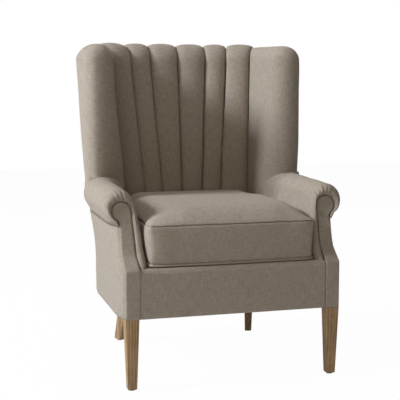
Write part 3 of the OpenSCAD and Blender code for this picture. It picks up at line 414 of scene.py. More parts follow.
class Nodes:
    """Short hand for adding and joining nodes of one tree."""

    def __init__(self, tree):
        self.tree = tree

    def add(self, kind, **settings):
        node = self.tree.nodes.new(kind)
        for key, value in settings.items():
            setattr(node, key, value)
        return node

    def join(self, source, target):
        self.tree.links.new(source, target)

    def feed(self, socket, value):
        if isinstance(value, bpy.types.NodeSocket):
            self.join(value, socket)
        else:
            socket.default_value = value

    def set(self, node, **values):
        """Feeds inputs of a node that are named with underscores for their spaces."""
        for label, value in values.items():
            self.feed(node.inputs[label.replace("_", " ")], value)
        return node

    def sum(self, operation, *values):
        node = self.add("ShaderNodeMath", operation=operation)
        for socket, value in zip(node.inputs, values):
            self.feed(socket, value)
        return node.outputs[0]

    def plus(self, first, *others):
        for other in others:
            first = self.sum("ADD", first, other)
        return first

    def times(self, a, b):
        return self.sum("MULTIPLY", a, b)

    def minus(self, a, b):
        return self.sum("SUBTRACT", a, b)

    def scaled(self, vector, factors):
        node = self.add("ShaderNodeVectorMath", operation="MULTIPLY")
        self.feed(node.inputs[0], vector)
        self.feed(node.inputs[1], factors)
        return node.outputs[0]

    def noise(self, vector, scale, detail=2.0, roughness=0.5):
        node = self.add("ShaderNodeTexNoise")
        self.set(node, Vector=vector, Scale=scale, Detail=detail, Roughness=roughness)
        return node.outputs["Fac"]

    def spread(self, value, low, high, to_low=0.0, to_high=1.0):
        node = self.add("ShaderNodeMapRange")
        self.set(node, Value=value, From_Min=low, From_Max=high, To_Min=to_low, To_Max=to_high)
        return node.outputs["Result"]

    def blend(self, share, a, b, kind="MIX"):
        node = self.add("ShaderNodeMix", data_type="RGBA", blend_type=kind)
        for k, value in ((0, share), (6, a), (7, b)):
            self.feed(node.inputs[k], value)
        return node.outputs[2]


def surface_group(name, given):
    """Shader group with named inputs that puts out a colour, a height and a roughness."""
    group = bpy.data.node_groups.new(name, "ShaderNodeTree")
    for label, value in given.items():
        kind = "Vector" if value is None else "Color" if isinstance(value, tuple) else "Float"
        socket = group.interface.new_socket(name=label, in_out="INPUT", socket_type=f"NodeSocket{kind}")
        if value is not None:
            socket.default_value = value
    for label, kind in (("Color", "Color"), ("Height", "Float"), ("Roughness", "Float")):
        group.interface.new_socket(name=label, in_out="OUTPUT", socket_type=f"NodeSocket{kind}")
    n = Nodes(group)
    return n, n.add("NodeGroupInput").outputs, n.add("NodeGroupOutput")


def weave_group():
    """Plain weave of slubby yarn, measured in metres over the cloth."""
    yarns = {"Cloth": None, "Warp": (0.5, 0.45, 0.4, 1), "Weft": (0.4, 0.36, 0.31, 1)}
    numbers = {"Threads per metre": 900.0, "Slub": 0.16, "Speckle": 0.1, "Mottle": 0.06}
    n, given, target = surface_group("linen_weave", {**yarns, **numbers})
    cloth = given["Cloth"]
    parts = n.add("ShaderNodeSeparateXYZ")
    n.join(cloth, parts.inputs[0])
    pitch = n.times(given["Threads per metre"], math.pi)
    sway = n.times(n.minus(n.noise(cloth, 60.0, 1.0), 0.5), 4.0)
    u, v = (n.sum("SINE", n.plus(n.times(parts.outputs[k], pitch), sway)) for k in (0, 1))
    over = n.plus(n.times(n.times(u, v), 0.5), 0.5)
    thin = [n.noise(n.scaled(cloth, (a, b, 1.0)), 1.0, 3.0, 0.6) for a, b in ((620, 34), (34, 620))]
    thick = [n.noise(n.scaled(cloth, (a, b, 1.0)), 1.0, 2.0, 0.55) for a, b in ((38, 300), (300, 38))]
    slub = n.spread(n.plus(*thin, *thick), 1.6, 2.4, -1.0, 1.0)
    mottle = n.minus(n.noise(cloth, 14.0, 4.0, 0.6), 0.5)
    gain = n.plus(n.times(slub, given["Slub"]), 1.0, n.times(mottle, given["Mottle"]))
    bright = n.add("ShaderNodeCombineXYZ")
    for socket in bright.inputs:
        n.join(gain, socket)
    colour = n.blend(over, given["Warp"], given["Weft"])
    colour = n.blend(1.0, colour, bright.outputs[0], "MULTIPLY")
    fleck = n.noise(cloth, 190.0, 3.0, 0.7)
    for low, high, tint in ((0.54, 0.7, (0.42, 0.24, 0.17, 1)), (0.46, 0.3, (0.62, 0.62, 0.50, 1))):
        colour = n.blend(n.times(n.spread(fleck, low, high), given["Speckle"]), colour, tint)
    height, roughness = n.plus(over, n.times(slub, 0.5)), n.plus(0.86, n.times(over, 0.1))
    n.set(target, Color=colour, Height=height, Roughness=roughness)
    return n.tree


def grain_group():
    """Long grain, pores and worn edges of sawn wood, with the grain along Z."""
    colours = {"Light": (0.5, 0.35, 0.2, 1), "Dark": (0.3, 0.2, 0.1, 1), "Worn": (0.6, 0.5, 0.4, 1)}
    n, given, target = surface_group(
        "wood_grain", {"Place": None, **colours, "Grain scale": 60.0, "Wear": 0.5}
    )
    place, scale = given["Place"], given["Grain scale"]
    drawn = n.scaled(place, (1.0, 1.0, 0.07))
    drift = n.noise(drawn, n.times(scale, 0.35))
    rings = n.add("ShaderNodeTexWave", wave_type="BANDS", bands_direction="X")
    n.set(rings, Vector=drawn, Scale=n.times(scale, 0.55), Distortion=7.0, Detail=3.0, Detail_Scale=0.7)
    fine = n.noise(n.scaled(place, (900.0, 900.0, 22.0)), 1.0, 3.0, 0.65)
    streak = n.spread(n.noise(n.scaled(place, (150.0, 150.0, 9.0)), 1.0, 3.0, 0.6), 0.3, 0.7)
    share = n.plus(n.times(rings.outputs["Fac"], 0.35), n.times(drift, 0.35), n.times(streak, 0.45))
    colour = n.blend(n.spread(share, 0.3, 0.95), given["Dark"], given["Light"])
    pores = n.spread(fine, 0.36, 0.46, 1.0, 0.0)
    colour = n.blend(n.times(pores, 0.45), colour, given["Dark"])
    edge = n.spread(n.add("ShaderNodeNewGeometry").outputs["Pointiness"], 0.51, 0.58)
    patch = n.spread(n.noise(place, 70.0, 4.0, 0.7), 0.4, 0.65)
    colour = n.blend(n.times(n.times(edge, patch), given["Wear"]), colour, given["Worn"])
    height = n.minus(n.times(fine, 0.6), n.times(pores, 0.4))
    n.set(target, Color=colour, Height=height, Roughness=n.plus(0.52, n.times(fine, 0.25)))
    return n.tree


def dull_group():
    """Fine scratches and dull patches for metal and plastic."""
    colours = {"Base": (0.4, 0.4, 0.4, 1), "Dull": (0.25, 0.22, 0.2, 1)}
    n, given, target = surface_group("dull_patches", {"Place": None, **colours, "Amount": 0.4})
    share = n.times(n.spread(n.noise(given["Place"], 90.0, 5.0, 0.65), 0.42, 0.62), given["Amount"])
    colour, height = n.blend(share, given["Base"], given["Dull"]), n.noise(given["Place"], 900.0, 2.0, 0.6)
    n.set(target, Color=colour, Height=height, Roughness=n.plus(0.34, n.times(share, 0.5)))
    return n.tree


def finish_material(name, group, values, relief, depth, metallic=0.0, sheen=0.0, cloth=False):
    """Material that takes its colour, relief and roughness from one of the groups."""
    material = bpy.data.materials.new(name)
    material.use_nodes = True
    n = Nodes(material.node_tree)
    shader = n.tree.nodes["Principled BSDF"]
    n.set(shader, Metallic=metallic, Sheen_Weight=sheen, Sheen_Roughness=0.45)
    n.set(shader, Specular_IOR_Level=0.1 if cloth else 0.5)
    source = n.add("ShaderNodeGroup", node_tree=group)
    if cloth:
        place = n.add("ShaderNodeUVMap", uv_map="cloth").outputs[0]
    else:
        place = n.add("ShaderNodeTexCoord").outputs["Object"]
        if group.name == "linen_weave":
            parts, laid = n.add("ShaderNodeSeparateXYZ"), n.add("ShaderNodeCombineXYZ")
            n.join(place, parts.inputs[0])
            for k, axis in ((0, 0), (1, 2)):
                n.join(n.plus(parts.outputs[axis], parts.outputs[1]), laid.inputs[k])
            place = laid.outputs[0]
    n.join(place, source.inputs[0])
    for label, value in values.items():
        source.inputs[label].default_value = (*value, 1.0) if len(np.shape(value)) else value
    bump = n.add("ShaderNodeBump")
    n.set(bump, Strength=relief, Distance=depth, Height=source.outputs["Height"])
    n.set(shader, Base_Color=source.outputs["Color"], Roughness=source.outputs["Roughness"])
    n.set(shader, Normal=bump.outputs[0])
    return material


# Colours and threads per metre of the plain cloths, and whether each is sewn
CLOTHS = {
    "deck_lining": ((0.36, 0.32, 0.27), (0.30, 0.27, 0.23), 1100.0, True),
    "black_lining": ((0.022, 0.021, 0.02), (0.016, 0.016, 0.015), 1400.0, True),
    "jute_webbing": ((0.36, 0.26, 0.15), (0.27, 0.19, 0.10), 420.0, False),
    "tie_cord": ((0.24, 0.23, 0.21), (0.17, 0.16, 0.15), 800.0, False),
    "wadding": ((0.80, 0.78, 0.72), (0.74, 0.72, 0.66), 500.0, False),
    "foam": ((0.78, 0.70, 0.52), (0.70, 0.62, 0.45), 1500.0, False),
    "zip_tape": ((0.20, 0.17, 0.14), (0.16, 0.14, 0.12), 1500.0, True),
}
# Clean and dull colours of the metals and plastics, and how metallic each is
METALS = {
    "spring_steel": ((0.30, 0.31, 0.32), (0.16, 0.14, 0.13), 1.0),
    "zinc_steel": ((0.56, 0.57, 0.58), (0.34, 0.34, 0.34), 1.0),
    "nylon": ((0.05, 0.05, 0.05), (0.09, 0.085, 0.08), 0.0),
    "zip_coil": ((0.24, 0.21, 0.17), (0.17, 0.15, 0.12), 0.0),
}
# Finish of each slot of the solids that keep their own shape
SOLID_FINISHES = {
    "frame_wood": "frame_beech",
    "spring_steel": "spring_steel",
    "bolt_steel": "zinc_steel",
    "nylon": "nylon",
    "cord": "tie_cord",
    "webbing": "jute_webbing",
    "lining": "black_lining",
    "wadding": "wadding",
    "foam": "foam",
}


def finish(name):
    """The named material of the chair, made when it is first asked for."""
    found = bpy.data.materials.get(name)
    if found:
        return found
    cloth = bpy.context.scene.chair_cloth
    wood = bpy.context.scene.chair_wood
    groups = bpy.data.node_groups
    weave = groups.get("linen_weave") or weave_group()
    grain = groups.get("wood_grain") or grain_group()
    dull = groups.get("dull_patches") or dull_group()
    if name == "linen":
        values = {"Warp": cloth.warp, "Weft": cloth.weft, "Slub": cloth.slub}
        values["Threads per metre"] = 1.0 / cloth.thread_pitch
        return finish_material(name, weave, values, 0.5, 0.0008, sheen=0.06, cloth=True)
    if name in CLOTHS:
        warp, weft, threads, sewn = CLOTHS[name]
        values = {"Warp": warp, "Weft": weft, "Threads per metre": threads}
        values.update({"Slub": 0.06, "Speckle": 0.0, "Mottle": 0.05})
        return finish_material(name, weave, values, 0.4, 0.0006, sheen=0.1, cloth=sewn)
    if name in METALS:
        base, worn, metallic = METALS[name]
        values = {"Base": base, "Dull": worn}
        return finish_material(name, dull, values, 0.2, 0.0002, metallic=metallic)
    woods = {
        "oiled_oak": (wood.light, wood.dark, wood.worn, 60.0, 0.6),
        "frame_beech": ((0.62, 0.45, 0.26), (0.50, 0.34, 0.18), (0.70, 0.56, 0.38), 40.0, 0.2),
    }
    values = dict(zip(("Light", "Dark", "Worn", "Grain scale", "Wear"), woods[name]))
    return finish_material(name, grain, values, 0.35, 0.0004)


# What repeats or follows a path


def path_tree(name, given):
    """Tree that draws something every step along a path, up to the evenly divided curve."""
    tree = bpy.data.node_groups.new(name, "GeometryNodeTree")
    face = tree.interface
    face.new_socket(name="Path", in_out="INPUT", socket_type="NodeSocketGeometry")
    for label, value in given.items():
        kind = "NodeSocketVector" if isinstance(value, tuple) else "NodeSocketFloat"
        face.new_socket(name=label, in_out="INPUT", socket_type=kind).default_value = value
    face.new_socket(name="Material", in_out="INPUT", socket_type="NodeSocketMaterial")
    face.new_socket(name="Geometry", in_out="OUTPUT", socket_type="NodeSocketGeometry")
    n = Nodes(tree)
    source = n.add("NodeGroupInput").outputs
    line = n.set(n.add("GeometryNodeMeshToCurve"), Mesh=source["Path"])
    even = n.add("GeometryNodeResampleCurve", mode="LENGTH")
    n.set(even, Curve=line.outputs["Curve"], Length=source["Step"])
    return n, source, even.outputs[0]


def close_tree(n, source, geometry):
    whole = n.set(n.add("GeometryNodeRealizeInstances"), Geometry=geometry)
    paint = n.add("GeometryNodeSetMaterial")
    n.set(paint, Geometry=whole.outputs[0], Material=source["Material"])
    n.set(n.add("NodeGroupOutput"), Geometry=paint.outputs[0])
    return n.tree


def welt_tree():
    """Round welt along a path."""
    n, source, even = path_tree("sewn_welt", {"Radius": 0.002, "Step": 0.006})
    ring = n.set(n.add("GeometryNodeCurvePrimitiveCircle"), Resolution=8)
    n.join(source["Radius"], ring.inputs["Radius"])
    tube = n.set(n.add("GeometryNodeCurveToMesh"), Curve=even, Profile_Curve=ring.outputs[0])
    tube.inputs["Fill Caps"].default_value = True
    return close_tree(n, source, tube.outputs[0])


def repeat_tree():
    """Small blocks set one after the other along a path: staples or zip teeth."""
    n, source, even = path_tree("set_along_path", {"Step": 0.006, "Block": (0.004, 0.001, 0.001)})
    block = n.set(n.add("GeometryNodeMeshCube"), Size=source["Block"])
    soft = n.set(n.add("GeometryNodeSubdivisionSurface"), Mesh=block.outputs["Mesh"], Level=1)
    turn = n.add("FunctionNodeAlignRotationToVector", axis="X")
    n.set(turn, Vector=n.add("GeometryNodeInputTangent").outputs[0])
    each = n.add("GeometryNodeInstanceOnPoints")
    n.set(each, Points=even, Instance=soft.outputs[0], Rotation=turn.outputs[0])
    return close_tree(n, source, each.outputs[0])


def along_path(name, points, values, finish_name, body, closed=False, nodes=()):
    """Piece made along a line of points in metres: blocks where a block is given, else a welt."""
    wanted = "set_along_path" if "Block" in values else "sewn_welt"
    tree = bpy.data.node_groups.get(wanted) or (repeat_tree() if "Block" in values else welt_tree())
    mesh = bpy.data.meshes.new(name + "_path")
    edges = [(k, k + 1) for k in range(len(points) - 1)]
    if closed:
        edges.append((len(points) - 1, 0))
    mesh.from_pydata([tuple(p) for p in points], edges, [])
    ob = bpy.data.objects.new(name + "_path", mesh)
    bpy.context.scene.collection.objects.link(ob)
    modifier = ob.modifiers.new("along", "NODES")
    modifier.node_group = tree
    values = {**values, "Material": finish(finish_name)}
    for item in tree.interface.items_tree:
        if item.in_out == "INPUT" and item.name in values:
            modifier[item.identifier] = values[item.name]
    graph = bpy.context.evaluated_depsgraph_get()
    made = bpy.data.meshes.new_from_object(ob.evaluated_get(graph), depsgraph=graph)
    made.name = name
    bpy.data.objects.remove(ob)
    bpy.data.meshes.remove(mesh)
    if not len(made.polygons):
        raise RuntimeError(f"{name}: the node tree made nothing")
    box_cloth(made)
    made.polygons.foreach_set("use_smooth", [True] * len(made.polygons))
    return new_piece(name, made, values["Material"], body, nodes)


def box_cloth(mesh):
    """Cloth coordinates in metres, laid on each face from the side it faces."""
    layer = mesh.uv_layers.get("cloth") or mesh.uv_layers.new(name="cloth")
    main = np.abs(read(mesh.polygons, "normal", 3).reshape(-1, 3)).argmax(axis=1)
    main = np.repeat(main, read(mesh.polygons, "loop_total", kind=int))
    places = read(mesh.vertices, "co", 3).reshape(-1, 3)[read(mesh.loops, "vertex_index", kind=int)]
    axes = np.array([(1, 2), (0, 2), (0, 1)])[main]
    layer.data.foreach_set("uv", np.take_along_axis(places, axes, axis=1).ravel())


# Back channels

CHANNEL_PATH = [(z, 0.0) for z in np.linspace(370.0, BACK_TOP, 58)] + [
    (BACK_TOP, turn) for turn in np.linspace(6.0, 177.0, 30)
]


def channel_swell(turn):
    a = math.radians(turn)
    if turn < 90:
        return mix(CHANNEL_RISE, SCALLOP_RISE, math.sin(a))
    return SCALLOP_RISE * math.sin(a) ** 2


def channel_grids(i, pucker, sew_in):
    """Front and back of a channel, with small gathers where it is sewn down."""
    steps = np.linspace(0, 1, 25)
    shares = (1 - np.cos(np.pi * steps)) / 2
    front, back = [], []
    run, last = 0.0, None
    for z, turn in CHANNEL_PATH:
        a, b = crease_path(i, z, turn, 0), crease_path(i + 1, z, turn, 0)
        width = np.linalg.norm(b - a)
        edge = FIT / 2 / width
        normal = unit(crease_normal(i, z, turn) + crease_normal(i + 1, z, turn))
        if last is not None:
            run += np.linalg.norm((a + b) / 2 - last)
        last = (a + b) / 2
        places = mix(edge, 1 - edge, shares)
        rise = channel_swell(turn) * np.sin(np.pi * steps) ** 0.9
        near = np.minimum(places, 1 - places) * width
        pull = pucker * (1 + 1.2 * math.sin(math.radians(turn)))
        for k, place in enumerate(places):
            side = 0 if place < 0.5 else 1
            key = Vector((run / 17.0, (i + side) * 7.3, 2.1))
            gather = 0.5 + 0.5 * noise.noise(key) + 0.35 * noise.noise(key * 2.3)
            rise[k] -= pull * gather * math.exp(-near[k] / 9.0)
            rise[k] -= sew_in * math.exp(-((near[k] / 2.2) ** 2))
        front.append(a + (b - a) * places[:, None] + normal * rise[:, None])
        a, b = crease_path(i, z, turn, CHANNEL_T), crease_path(i + 1, z, turn, CHANNEL_T)
        back.append(a + (b - a) * places[:, None])
    return np.array(front), np.array(back)


# Wings

WING_ROWS = [*np.linspace(370.0, 530.0, 10), *np.linspace(542.0, OVER_Z, 8)]
WING_ROWS += [*np.linspace(OVER_Z + FIT, BACK_TOP, 40)]
WING_PLACES = np.concatenate([np.linspace(0, 3, 14)[:-1], np.linspace(3, 11, 45)])


def nose_point(z, a):
    a = math.radians(a)
    return np.array(
        [mix(WING_FACE_X, wing_in_x(z), math.cos(a)), mix(WING_NOSE, WING_FACE, math.sin(a))]
    )


def corner_y(z):
    """The wing's front corner, which comes forward where it meets the arm."""
    return mix(WING_CORNER, ARM_END, within((606.2 - z) / 0.2))


def wing_seam_y(z):
    """Where the wing's cover meets the outside panel: it sweeps back near the top."""
    return corner_y(z) + 0.5 + WING_SEAM_TOP * within((z - WING_SEAM_Z) / 90.0) ** 2


def wing_full(z):
    """How much further out the stuffed wing stands between the arm and the top."""
    return WING_FULL * math.sin(math.pi * within((z - OVER_Z) / (BACK_TOP - OVER_Z))) ** 0.7


def post_x(z):
    return side_reach(z, WING_FRONT + WING_SEAM - 3.3) - 6.3 - COVER_T


def face_points(z):
    """Four points of a wing's inner face, from the outer crease forwards, slightly full."""
    c = crease(6, z) + (1.5, 0)
    inner = nose_point(z, 0)
    along = inner - c
    out = unit(np.array([along[1], -along[0]]))
    if out[0] > 0:
        out = -out
    return [c] + [mix(c, inner, t) + out * b for t, b in ((0.12, 3.6), (0.5, 5.0))] + [inner]


def wing_wall(z):
    sunk = within((566.0 - z) / 10.0)
    x1 = side_half(z) + wing_full(z) - 9.0 * sunk + 0.6 * roll_swell(z) * (1 - sunk) * (z < OVER_Z)
    points = face_points(z) + [nose_point(z, a) for a in (22.5, 45, 67.5, 90)]
    for t in (0.45, 0.82, 1):
        x = mix(WING_FACE_X, x1, t)
        points.append(np.array([x, mix(WING_FACE, corner_y(z), t**3.0)]))
    return points + [np.array([x1 + 0.3, wing_seam_y(z)])]


def wing_back(z):
    x1 = post_x(z) - 24.3
    rung = shell(z, CREASE_STATIONS[3], WEB_IN) + (2.1, -FIT)
    deep = WING_CORNER
    edge, last = side_half(z) - COVER_T - 5, wing_seam_y(z) + 1.5
    points = [rung, mix(rung, np.array([x1, 505.0]), 0.5) - (4, 0)]
    points += [np.array([x1, y]) for y in np.linspace(500, deep, 4)]
    return points + [np.array([mix(x1, edge, k / 6), mix(deep, last, k / 6)]) for k in range(1, 7)]


def wing_top_wall(z):
    points = [shell(z, s) for s in (1.5, 1.34, 1.17, 1)]
    far, near = turn_y(z), wing_seam_y(z)
    return points + [np.array([side_half(z), mix(far, near, t / 8)]) for t in range(1, 9)]


def dome_spine(place):
    """Middle line of a wing's domed top, and the dome's height over it."""
    crest = (crease(6, BACK_TOP) + shell(BACK_TOP, CREASE_STATIONS[3])) / 2
    nose = np.array([(wing_in_x(BACK_TOP) + side_half(BACK_TOP)) / 2, WING_NOSE])
    t = within(place / 6)
    t = t * t * (3 - 2 * t)
    return crest + (nose - crest) * t, mix(CREST_H, WING_DOME, t)


def dome_reach(place, turn):
    """How far a dome still spreads from its middle line at a turn, fuller over the wing."""
    full = mix(1.0, 0.6, within(place / 5))
    return abs(math.cos(turn)) ** full


def wing_grids():
    front = [lift(bend(wing_wall(z), WING_PLACES), z) for z in WING_ROWS]
    back = [lift(bend(wing_back(z), WING_PLACES), z) for z in WING_ROWS]
    inner = bend(wing_wall(BACK_TOP), WING_PLACES)
    outer = bend(wing_top_wall(BACK_TOP), WING_PLACES)
    spine = np.array([dome_spine(p)[0] for p in WING_PLACES])
    height = np.array([dome_spine(p)[1] for p in WING_PLACES])
    hidden = back[-1]
    for turn in np.linspace(5, 180, 34):
        a = math.radians(turn)
        wall = inner if turn < 90 else outer
        reach = [abs(math.cos(a)) if turn < 90 else dome_reach(p, a) for p in WING_PLACES]
        plan = spine + (wall - spine) * np.array(reach)[:, None]
        front.append(np.column_stack([plan, BACK_TOP + height * math.sin(a)]))
        under = hidden[:, :2] + (outer - hidden[:, :2]) * max(0.0, -math.cos(a)) * 0.98
        back.append(np.column_stack([under, np.full(len(under), BACK_TOP + 0.2)]))
    return np.array(front), np.array(back)


# Arms

# Depth of the scroll's padded rim at shares of the way from the facing's border to the roll
RIM = ((0, 8), (0.05, 4), (0.15, -0.5), (0.3, -3.5), (0.45, -4), (0.6, -2), (0.75, 3), (0.87, 9.5))
RIM += ((0.95, 15.5), (1, 23))
ROLL_TURNS = np.linspace(165, -60, 126)
ARM_FOOT = 352.0
# Turn round the scroll in degrees and depth of each pleat
PLEATS = ((190, 1.2), (174, 1.3), (158, 0.8), (141, 1.4), (122, 0.7), (104, 1.2), (87, 0.5), (70, 0.8))


def arm_inner_x(z):
    return mix(ARM_GAP, ROLL_X - ROLL_R, within((z - DECK_Z) / (ROLL_Z - DECK_Z)))


def arm_wall(y):
    """Outside line of an arm at a depth: up the inner face, round the roll, and under it."""
    rise = ARM_RISE * within((y - SETBACK) / (ARM_END - SETBACK))
    r, cz = ROLL_R + rise / 2, ROLL_Z + rise / 2
    points = []
    for t in np.linspace(0, 0.93, 26):
        z = mix(ARM_FOOT, cz, t)
        points.append((arm_inner_x(z) - 8.0 * math.sin(math.pi * t) ** 0.7, z))
    for a in np.radians(ROLL_TURNS):
        x = ROLL_X + r * math.cos(a)
        if a < 0:
            x = max(x, mix(ROLL_X + r, side_x(UNDER_Z, y) + 2, within(-a / math.radians(75))))
        points.append((x, cz + r * math.sin(a)))
    points.append((max(side_x(UNDER_Z, y), FACING_X1 + 4), UNDER_Z))
    return np.array(points)


def head_line():
    """The facing's border, point for point with the outside line of the arm."""
    points = []
    for t in np.linspace(0, 0.93, 26):
        z = mix(ARM_FOOT, HEAD_Z + 4, t)
        points.append((facing_sides(z)[0] - FIT, z))
    for a in np.radians(ROLL_TURNS):
        r = HEAD_R + FIT
        points.append((HEAD_X + r * math.cos(a), HEAD_Z + r * math.sin(a)))
    points.append((FACING_X1 + FIT, UNDER_Z))
    return np.array(points)


def facing_sides(z):
    reach = math.sqrt(max(0.0, HEAD_R**2 - (z - HEAD_Z) ** 2))
    if z < HEAD_Z:
        left = mix(FACING_X0, HEAD_X - HEAD_R, within((z - SHOULDER_Z) / (HEAD_Z - SHOULDER_Z)))
        return left, max(FACING_X1, HEAD_X + reach)
    return HEAD_X - reach, HEAD_X + reach


def arm_grids(pleat_depth):
    head = head_line()
    lift_y = np.array([front_y(z) + 12.0 * within((400.0 - z) / 38.0) for z in head[:, 1]])
    outer = arm_wall(SETBACK)
    width = np.linalg.norm(outer - head, axis=1)
    size = (width / 24.0).clip(0.3, 1)
    rim = eased(RIM, False)
    front, back = [], []
    for r in np.linspace(0, 1, 26) ** 1.15:
        plan = head + (outer - head) * r
        y = lift_y + rim(r) * size
        front.append(np.column_stack([plan[:, 0], y, plan[:, 1]]))
        back.append(np.column_stack([head[:, 0], lift_y + FACING_T + 2 + r * 0.3, head[:, 1]]))
    start = lift_y + RIM[-1][1] * size
    inner = ((ROLL_X - outer[:, 0]) / ROLL_R).clip(0, 1) ** 0.5
    inner[outer[:, 1] < ROLL_Z - 25] = 1.0
    inner[-30:] = 0.0
    end = WING_FACE + 8 + 34.0 * inner
    wing_x = np.array([wing_in_x(max(z, SEAT_Z)) for z in outer[:, 1]]) + 1.5
    for t in np.linspace(0, 1, 50)[1:]:
        y = start + (end - start) * t
        wall = arm_wall(mix(SETBACK, ARM_END, t))
        flare = ((y - 392.0) / 96.0).clip(0, 1)
        flare = inner * flare**2 * (3 - 2 * flare)
        wall[:, 0] += (np.minimum(wing_x, wall[:, 0]) - wall[:, 0]) * flare
        front.append(np.column_stack([wall[:, 0], y, wall[:, 1]]))
        inset = wall + (np.array([ROLL_X - 6, ROLL_Z - 30]) - wall) * 0.22
        back.append(np.column_stack([inset[:, 0], np.maximum(y, lift_y + 12), inset[:, 1]]))
    front, back = np.array(front), np.array(back)
    normals = outward_normals(front, ARM_MIDDLE)
    along = run_along(front, 0)
    turns = np.degrees(np.arctan2(front[8, :, 2] - HEAD_Z, front[8, :, 0] - HEAD_X))
    turns = np.where(turns < -100, turns + 360, turns)
    shift = np.zeros(front.shape[:2])
    fade = np.exp(-((along / 46.0) ** 2)) * (along / 8.0).clip(0, 1)
    for turn, strength in PLEATS:
        away = turns - turn + along * 0.1
        fold = np.where(away < 0, np.exp(away / 9.0), np.exp(-away / 1.6))
        shift -= pleat_depth * strength * fold * fade
    return front + normals * shift[..., None], back


# Facings


def facing_grids():
    rows = list(np.linspace(LEG_H, HEAD_Z, 60))
    rows += [HEAD_Z + HEAD_R * math.sin(math.radians(a)) for a in np.linspace(4, 88, 16)]
    shares = (1 - np.cos(np.pi * np.linspace(0, 1, 19))) / 2
    front, back = [], []
    for z in rows:
        x0, x1 = facing_sides(z)
        x = mix(x0, x1, shares)
        near = np.minimum(x - x0, x1 - x)
        from_head = HEAD_R - np.hypot(x - HEAD_X, z - HEAD_Z)
        if z > HEAD_Z:
            near = np.minimum(near, np.maximum(from_head, 0))
        near = np.minimum(near, (z - LEG_H) * 2 + 1)
        t = (1 - near / 5.5).clip(0, 1)
        sunk = 3.0 * within((z - 470) / 36.0)
        drop = np.where(x < (x0 + x1) / 2, mix(0.8, 4.0, within((z - SHOULDER_Z) / 40.0)), 4.0)
        y = front_y(z) - 1.6 + sunk + drop * (1 - np.sqrt(1 - (t * 0.99) ** 2))
        front.append(np.column_stack([x, y, np.full(len(x), z)]))
        back.append(np.column_stack([x, np.full(len(x), front_y(z) + FACING_T + 3), np.full(len(x), z)]))
    return np.array(front), np.array(back)


# Outside covers


def outside_arm_grid():
    rows = []
    for z in np.linspace(LEG_H, UNDER_Z - FIT, 34):
        y0 = front_y(z) + 2.6
        ys = np.concatenate([[y0], y0 + (turn_y(z) - y0) * np.linspace(0, 1, 30)[1:]])
        line = [(side_x(z, y), y) for y in ys]
        line += [tuple(shell(z, s)) for s in np.linspace(1, SEAM_STATION - 0.002, 26)[1:]]
        rows.append(lift(np.array(line), z))
    return np.array(rows)


def roll_swell(z):
    """How far the arm's roll stands out beyond the side where it meets the wing."""
    reach = REAR_ROLL_R**2 - (z - REAR_ROLL_Z) ** 2
    return max(0.0, ROLL_X + math.sqrt(max(0.0, reach)) - side_half(z))


swell_fade = eased([(0, 1), (0.17, 0.72), (0.33, 0.4), (0.5, 0.15), (0.67, 0.04), (1, 0)], False)
full_fade = eased([(0, 1), (0.5, 1), (0.72, 0.66), (0.88, 0.2), (1, 0)], False)


def over_edge(point, s, z):
    """Carries a point of the outside up over the rounded top, as the outside panels are cut."""
    if z <= BACK_TOP:
        return np.array([*point, z])
    place = 0.0
    if s >= 1.5:
        low, high = (1.5, 1.9) if s < 1.9 else (1.9, 2.4) if s < 2.4 else (2.4, 3.0)
        i = {1.5: 6, 1.9: 5, 2.4: 4}[low]
        front = mix(crease(i, BACK_TOP), crease(i - 1, BACK_TOP), (s - low) / (high - low))
        spine, height = (front + point) / 2, CREST_H + SCALLOP_RISE * 0.3
    else:
        far, near = turn_y(BACK_TOP), wing_seam_y(BACK_TOP)
        place = (1.5 - s) * 6 if s > 1 else 3 + 8 * within((far - point[1]) / (far - near))
        spine, height = dome_spine(place)
    rise = math.asin(within((z - BACK_TOP) / height))
    return np.array([*(spine + (point - spine) * (dome_reach(place, rise) + 0.014)), z])


PANEL_ROWS = [*np.linspace(OVER_Z + FIT, BACK_TOP, 34), *np.linspace(BACK_TOP + 4, PANEL_TOP, 6)]


def outside_wing_grid():
    turns = np.radians(np.linspace(-64, 86, 26))
    low = [UNDER_Z] + [REAR_ROLL_Z + REAR_ROLL_R * math.sin(a) for a in turns]
    rows = []
    for z in low + [OVER_Z] + PANEL_ROWS:
        y0 = wing_seam_y(z) + FIT
        level = min(z, BACK_TOP)
        half, ty = side_half(level), turn_y(level)
        line = [(half, mix(y0, ty, t), mix(0, 0.33, t), 0) for t in np.linspace(0, 1, 16)[:-1]]
        outward = [(1.0, 0.0)] * len(line)
        for s in np.linspace(1, SEAM_STATION - 0.002, 26):
            p = shell(level, s)
            line.append((p[0], p[1], mix(0.33, 1, (s - 1) / (SEAM_STATION - 1)), s))
            a = math.radians(90 * (s - 1))
            outward.append((math.cos(a), math.sin(a)))
        swell = roll_swell(z) if z <= OVER_Z else 0.0
        row = []
        for p, o in zip(line, outward):
            reach = swell * swell_fade(p[2]) + wing_full(level) * full_fade(p[2])
            row.append(over_edge(np.array([p[0] + o[0] * reach, p[1] + o[1] * reach]), p[3], z))
        rows.append(np.array(row))
    return np.array(rows)


def outside_back_grid():
    stations = np.linspace(SEAM_STATION, 3, 40)
    rows = []
    for z in [*np.linspace(LEG_H, BACK_TOP, 56), *np.linspace(BACK_TOP + 4, PANEL_TOP, 6)]:
        half = [over_edge(shell(min(z, BACK_TOP), s), s, z) for s in stations]
        rows.append(np.array(half + [p * (-1, 1, 1) for p in reversed(half[:-1])]))
    return np.array(rows)


